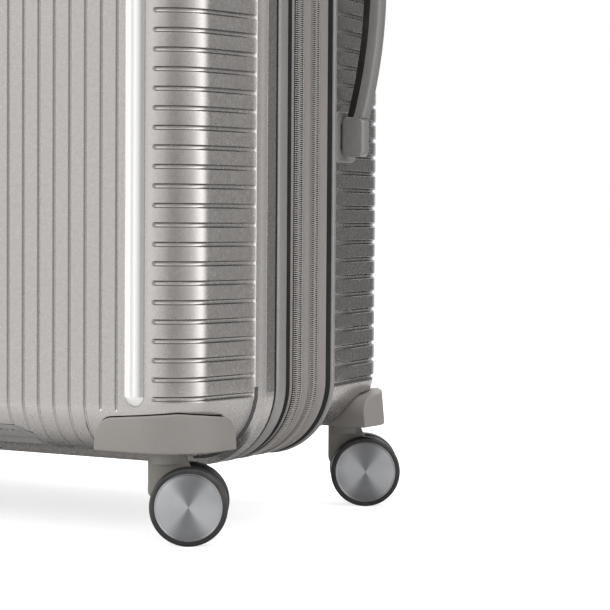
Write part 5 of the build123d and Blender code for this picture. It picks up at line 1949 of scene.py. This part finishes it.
@dataclass
class Studio:
    """Camera, lamps, floor and world."""

    place: Vec = (0.9652, -1.2654, 0.2088)
    yaw: float = 30.42
    dip: float = 2.33
    roll: float = 0.39
    lens: float = 128.54
    lamps: tuple[Lamp, ...] = (
        Lamp("top_lamp", -60, 72, 2.8, 1.6, 1.6, 0.9),
    )
    # Azimuth of each soft panel round the case, and how bright it is there.
    panels: tuple[tuple[float, float], ...] = (
        (-180, 0.5), (-142, 1.6), (-120, 2.2), (-70, 1.9), (-50, 1.05), (-37, 0.74), (-28, 0.85),
        (-11, 1.15), (5, 0.9), (18, 0.72), (30, 0.42), (42, 0.32), (54, 0.4), (70, 0.6), (86, 0.85),
        (98, 1.6), (108, 2.4), (115, 1.9), (119, 0.6), (124, 0.12), (141, 0.34), (152, 0.05),
        (168, 0.04), (180, 0.5),
    )

    def camera(self) -> None:
        """Add the camera."""
        data = bpy.data.cameras.new("camera")
        data.lens, data.sensor_width = self.lens, SENSOR_WIDTH
        data.clip_start, data.clip_end = 0.05, 60.0
        camera = bpy.data.objects.new("camera", data)
        turn = Matrix.Rotation(math.radians(self.yaw), 4, "Z") @ Matrix.Rotation(
            math.radians(90 - self.dip), 4, "X"
        )
        camera.matrix_world = Matrix.Translation(self.place) @ turn @ Matrix.Rotation(
            math.radians(self.roll), 4, "Z"
        )
        bpy.context.scene.collection.objects.link(camera)
        bpy.context.scene.camera = camera

    def _backdrop(self, tree: Tree, direction: Socket) -> Socket:
        """Mask of the directions in which the white backdrop stands behind the case."""
        turn = math.radians(self.yaw)
        back = (-math.sin(turn), math.cos(turn), 0.0)
        toward = tree.add("VectorMath", {0: direction, 1: back}, operation="DOT_PRODUCT")
        return tree.ramp(toward.outputs["Value"], 0.93, 0.98)

    def _seen(self, tree: Tree, backdrop: Socket) -> Socket:
        """Mask of the rays that look straight, through glass or by reflection at the backdrop."""
        path = tree.add("LightPath")
        straight = tree.math(
            "MAXIMUM", path.outputs["Is Camera Ray"], path.outputs["Is Transmission Ray"]
        )
        return tree.math("MAXIMUM", straight, tree.times(path.outputs["Is Glossy Ray"], backdrop))

    def world(self) -> None:
        """Tent of soft panels round the case, white where it is looked at."""
        world = bpy.data.worlds.new("surroundings")
        world.use_nodes = True
        tree = Tree(world.node_tree)
        direction = tree.add("TexCoord").outputs["Generated"]
        split = tree.add("SeparateXYZ", {0: direction})
        turn = tree.math("ARCTAN2", split.outputs["X"], tree.times(split.outputs["Y"], -1.0))
        ramp = tree.add(
            "ValToRGB", {0: tree.add("MapRange", {0: turn, 1: -math.pi, 2: math.pi}).outputs[0]}
        )
        stops = ramp.color_ramp.elements
        while len(stops) < len(self.panels):
            stops.new(0.5)
        for stop, (azimuth, level) in zip(stops, self.panels):
            stop.position = (azimuth + 180) / 360
            stop.color = (level / 3, level / 3, level / 3, 1.0)
        rise = tree.ramp(split.outputs["Z"], 0.2, 0.6, 1.0, 2.3)
        level = tree.times(ramp.outputs[0], tree.times(rise, 3.0))
        level = tree.mix(tree.ramp(split.outputs["Z"], 0.6, 0.98), level, 1.5, kind="FLOAT")
        strength = tree.mix(
            self._seen(tree, self._backdrop(tree, direction)), level, 1.0, kind="FLOAT"
        )
        glow = tree.add("Background", {"Color": (1, 1, 1, 1), "Strength": strength})
        tree.add("OutputWorld", {"Surface": glow.outputs[0]})
        bpy.context.scene.world = world

    def floor(self) -> None:
        """Pale floor that keeps the case's shadow."""
        shape = bmesh.new()
        bmesh.ops.create_grid(shape, x_segments=2, y_segments=2, size=14.0)
        floor = new_object("floor", shape)
        material = bpy.data.materials.new("pale_floor")
        material.use_nodes = True
        tree = Tree(material.node_tree)
        place = tree.add("TexCoord").outputs["Object"]
        away = tree.add("VectorMath", {0: place}, operation="LENGTH").outputs["Value"]
        pale = tree.ramp(away, 0.7, 1.7, 0.55, 0.12)
        matte = tree.add(
            "BsdfDiffuse",
            {"Color": tree.add("CombineColor", {0: pale, 1: pale, 2: pale}).outputs[0]},
        )
        outward = tree.add("VectorMath", {0: place}, operation="NORMALIZE").outputs[0]
        backdrop = tree.times(self._backdrop(tree, outward), tree.ramp(away, 1.0, 3.0))
        level = tree.ramp(away, 0.5, 1.4, 0.72, 1.0)
        glow = tree.add(
            "Emission",
            {"Color": (1, 1, 1, 1), "Strength": tree.times(self._seen(tree, backdrop), level)},
        )
        both = tree.add("AddShader", {0: matte.outputs[0], 1: glow.outputs[0]})
        glossy = tree.times(
            tree.add("LightPath").outputs["Is Glossy Ray"], tree.ramp(away, 0.3, 0.9)
        )
        open_floor = tree.add(
            "MixShader", {0: glossy, 1: both.outputs[0], 2: tree.add("BsdfTransparent").outputs[0]}
        )
        tree.add("OutputMaterial", {"Surface": open_floor.outputs[0]})
        floor.data.materials.append(material)
        floor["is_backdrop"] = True

    def build(self, target: Vector) -> None:
        """Set up the studio round the case."""
        self.camera()
        for lamp in self.lamps:
            lamp.build(target)
        self.world()
        self.floor()
        bpy.context.scene.view_settings.view_transform = "Standard"


def write_sizes(cad_box: tuple[Vector, Vector]) -> None:
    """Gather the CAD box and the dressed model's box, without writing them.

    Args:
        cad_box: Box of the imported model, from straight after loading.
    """
    boxes = {
        "cad": [list(corner) for corner in cad_box],
        "visual": [list(corner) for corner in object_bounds()],
    }


def housing_cutters(end: str) -> tuple[tuple[str, float, Vec], ...]:
    """Cutters for the two housings of one end: node, growth and how far each is drawn down."""
    return tuple((f"housing_{end}_{hand}", 0.0009, (0.0, 0.0, -0.03)) for hand in ("right", "left"))


def main() -> None:
    """Build the dressed case and its studio."""
    logging.basicConfig(level=logging.INFO, format="%(name)s: %(message)s")
    shop = Workshop()
    shop.dress_nodes()
    Studio().build(Vector((0.0, 0.0, 0.35)))
    ShellSkin(
        "front_shell", body=-0.0655, face=-0.140, lip=(-0.052, -0.0628), beads=True,
        cutters=(
            *housing_cutters("front"),
            ("bottom_grip", 0.0004, (0.0, -0.02, -0.03)), ("lock_case", 0.0003, (0.01, 0.0, 0.0)),
        ),
    ).build(shop)
    ShellSkin(
        "rear_shell", body=0.0283, face=0.140, groove_depth=0.0016,
        cutters=(
            *housing_cutters("rear"),
            ("trolley_cup", 0.0003, (0.0, 0.01, 0.0)),
        ),
    ).build(shop)
    Seam().build(shop)
    for corner, sign_x, sign_y in (
        ("front_right", 1, -1), ("front_left", -1, -1), ("rear_right", 1, 1), ("rear_left", -1, 1)
    ):
        SoftenedPart(f"housing_{corner}", 0.0012, 4).build(shop)
        Caster(corner, sign_x, sign_y).build(shop)
    for node in ("side_handle", "top_handle", "side_handle_grip", "top_handle_grip"):
        SoftenedPart(node, 0.0013, 3, narrow=(0.0355, 0.0415, 0.44)).build(shop)
    for node, width in (
        (
            "side_handle_seats", 0.001
        ), ("top_handle_seats", 0.001), ("bottom_grip", 0.0006), ("trolley_cup", 0.0006),
        ("trolley_bar", 0.0004), (
            "trolley_button", 0.0004
        ), ("trolley_foot", 0.0006), ("trolley_cover", 0.0005),
        ("lock_case", 0.0004), ("lock_button", 0.0005), (
            "lock_key_cylinder", 0.0003
        ), ("lock_dial_lower", 0.0003),
        (
            "lock_dial_middle", 0.0003
        ), ("lock_dial_upper", 0.0003), ("upper_slider", 0.0004), ("lower_slider", 0.0004),
        (
            "expansion_slider", 0.0004
        ), ("upper_pull", 0.0004), ("lower_pull", 0.0004), ("expansion_pull", 0.0004),
        ("front_housing_screws", 0.0003), ("rear_housing_screws", 0.0003), ("mid_frame", 0.0003),
        ("trolley_outer_tubes", 0.0002), (
            "trolley_middle_tubes", 0.0002
        ), ("trolley_inner_tubes", 0.0002),
    ):
        SoftenedPart(node, width).build(shop)
    Digits(
        {"lock_dial_lower": 0.443, "lock_dial_middle": 0.454, "lock_dial_upper": 0.465}
    ).build(shop)
    Lining("front_lining", "front_shell_skin", -0.046, (0.64, 0.84)).build(shop)
    Lining("rear_lining", "rear_shell_skin", 0.029, (0.62, 0.82)).build(shop)
    Gusset().build(shop, SeamPath())
    HingeStrip().build(shop)
    PackingStraps().build(shop)
    write_sizes(shop.cad_box)


if __name__ == "__main__":
    main()
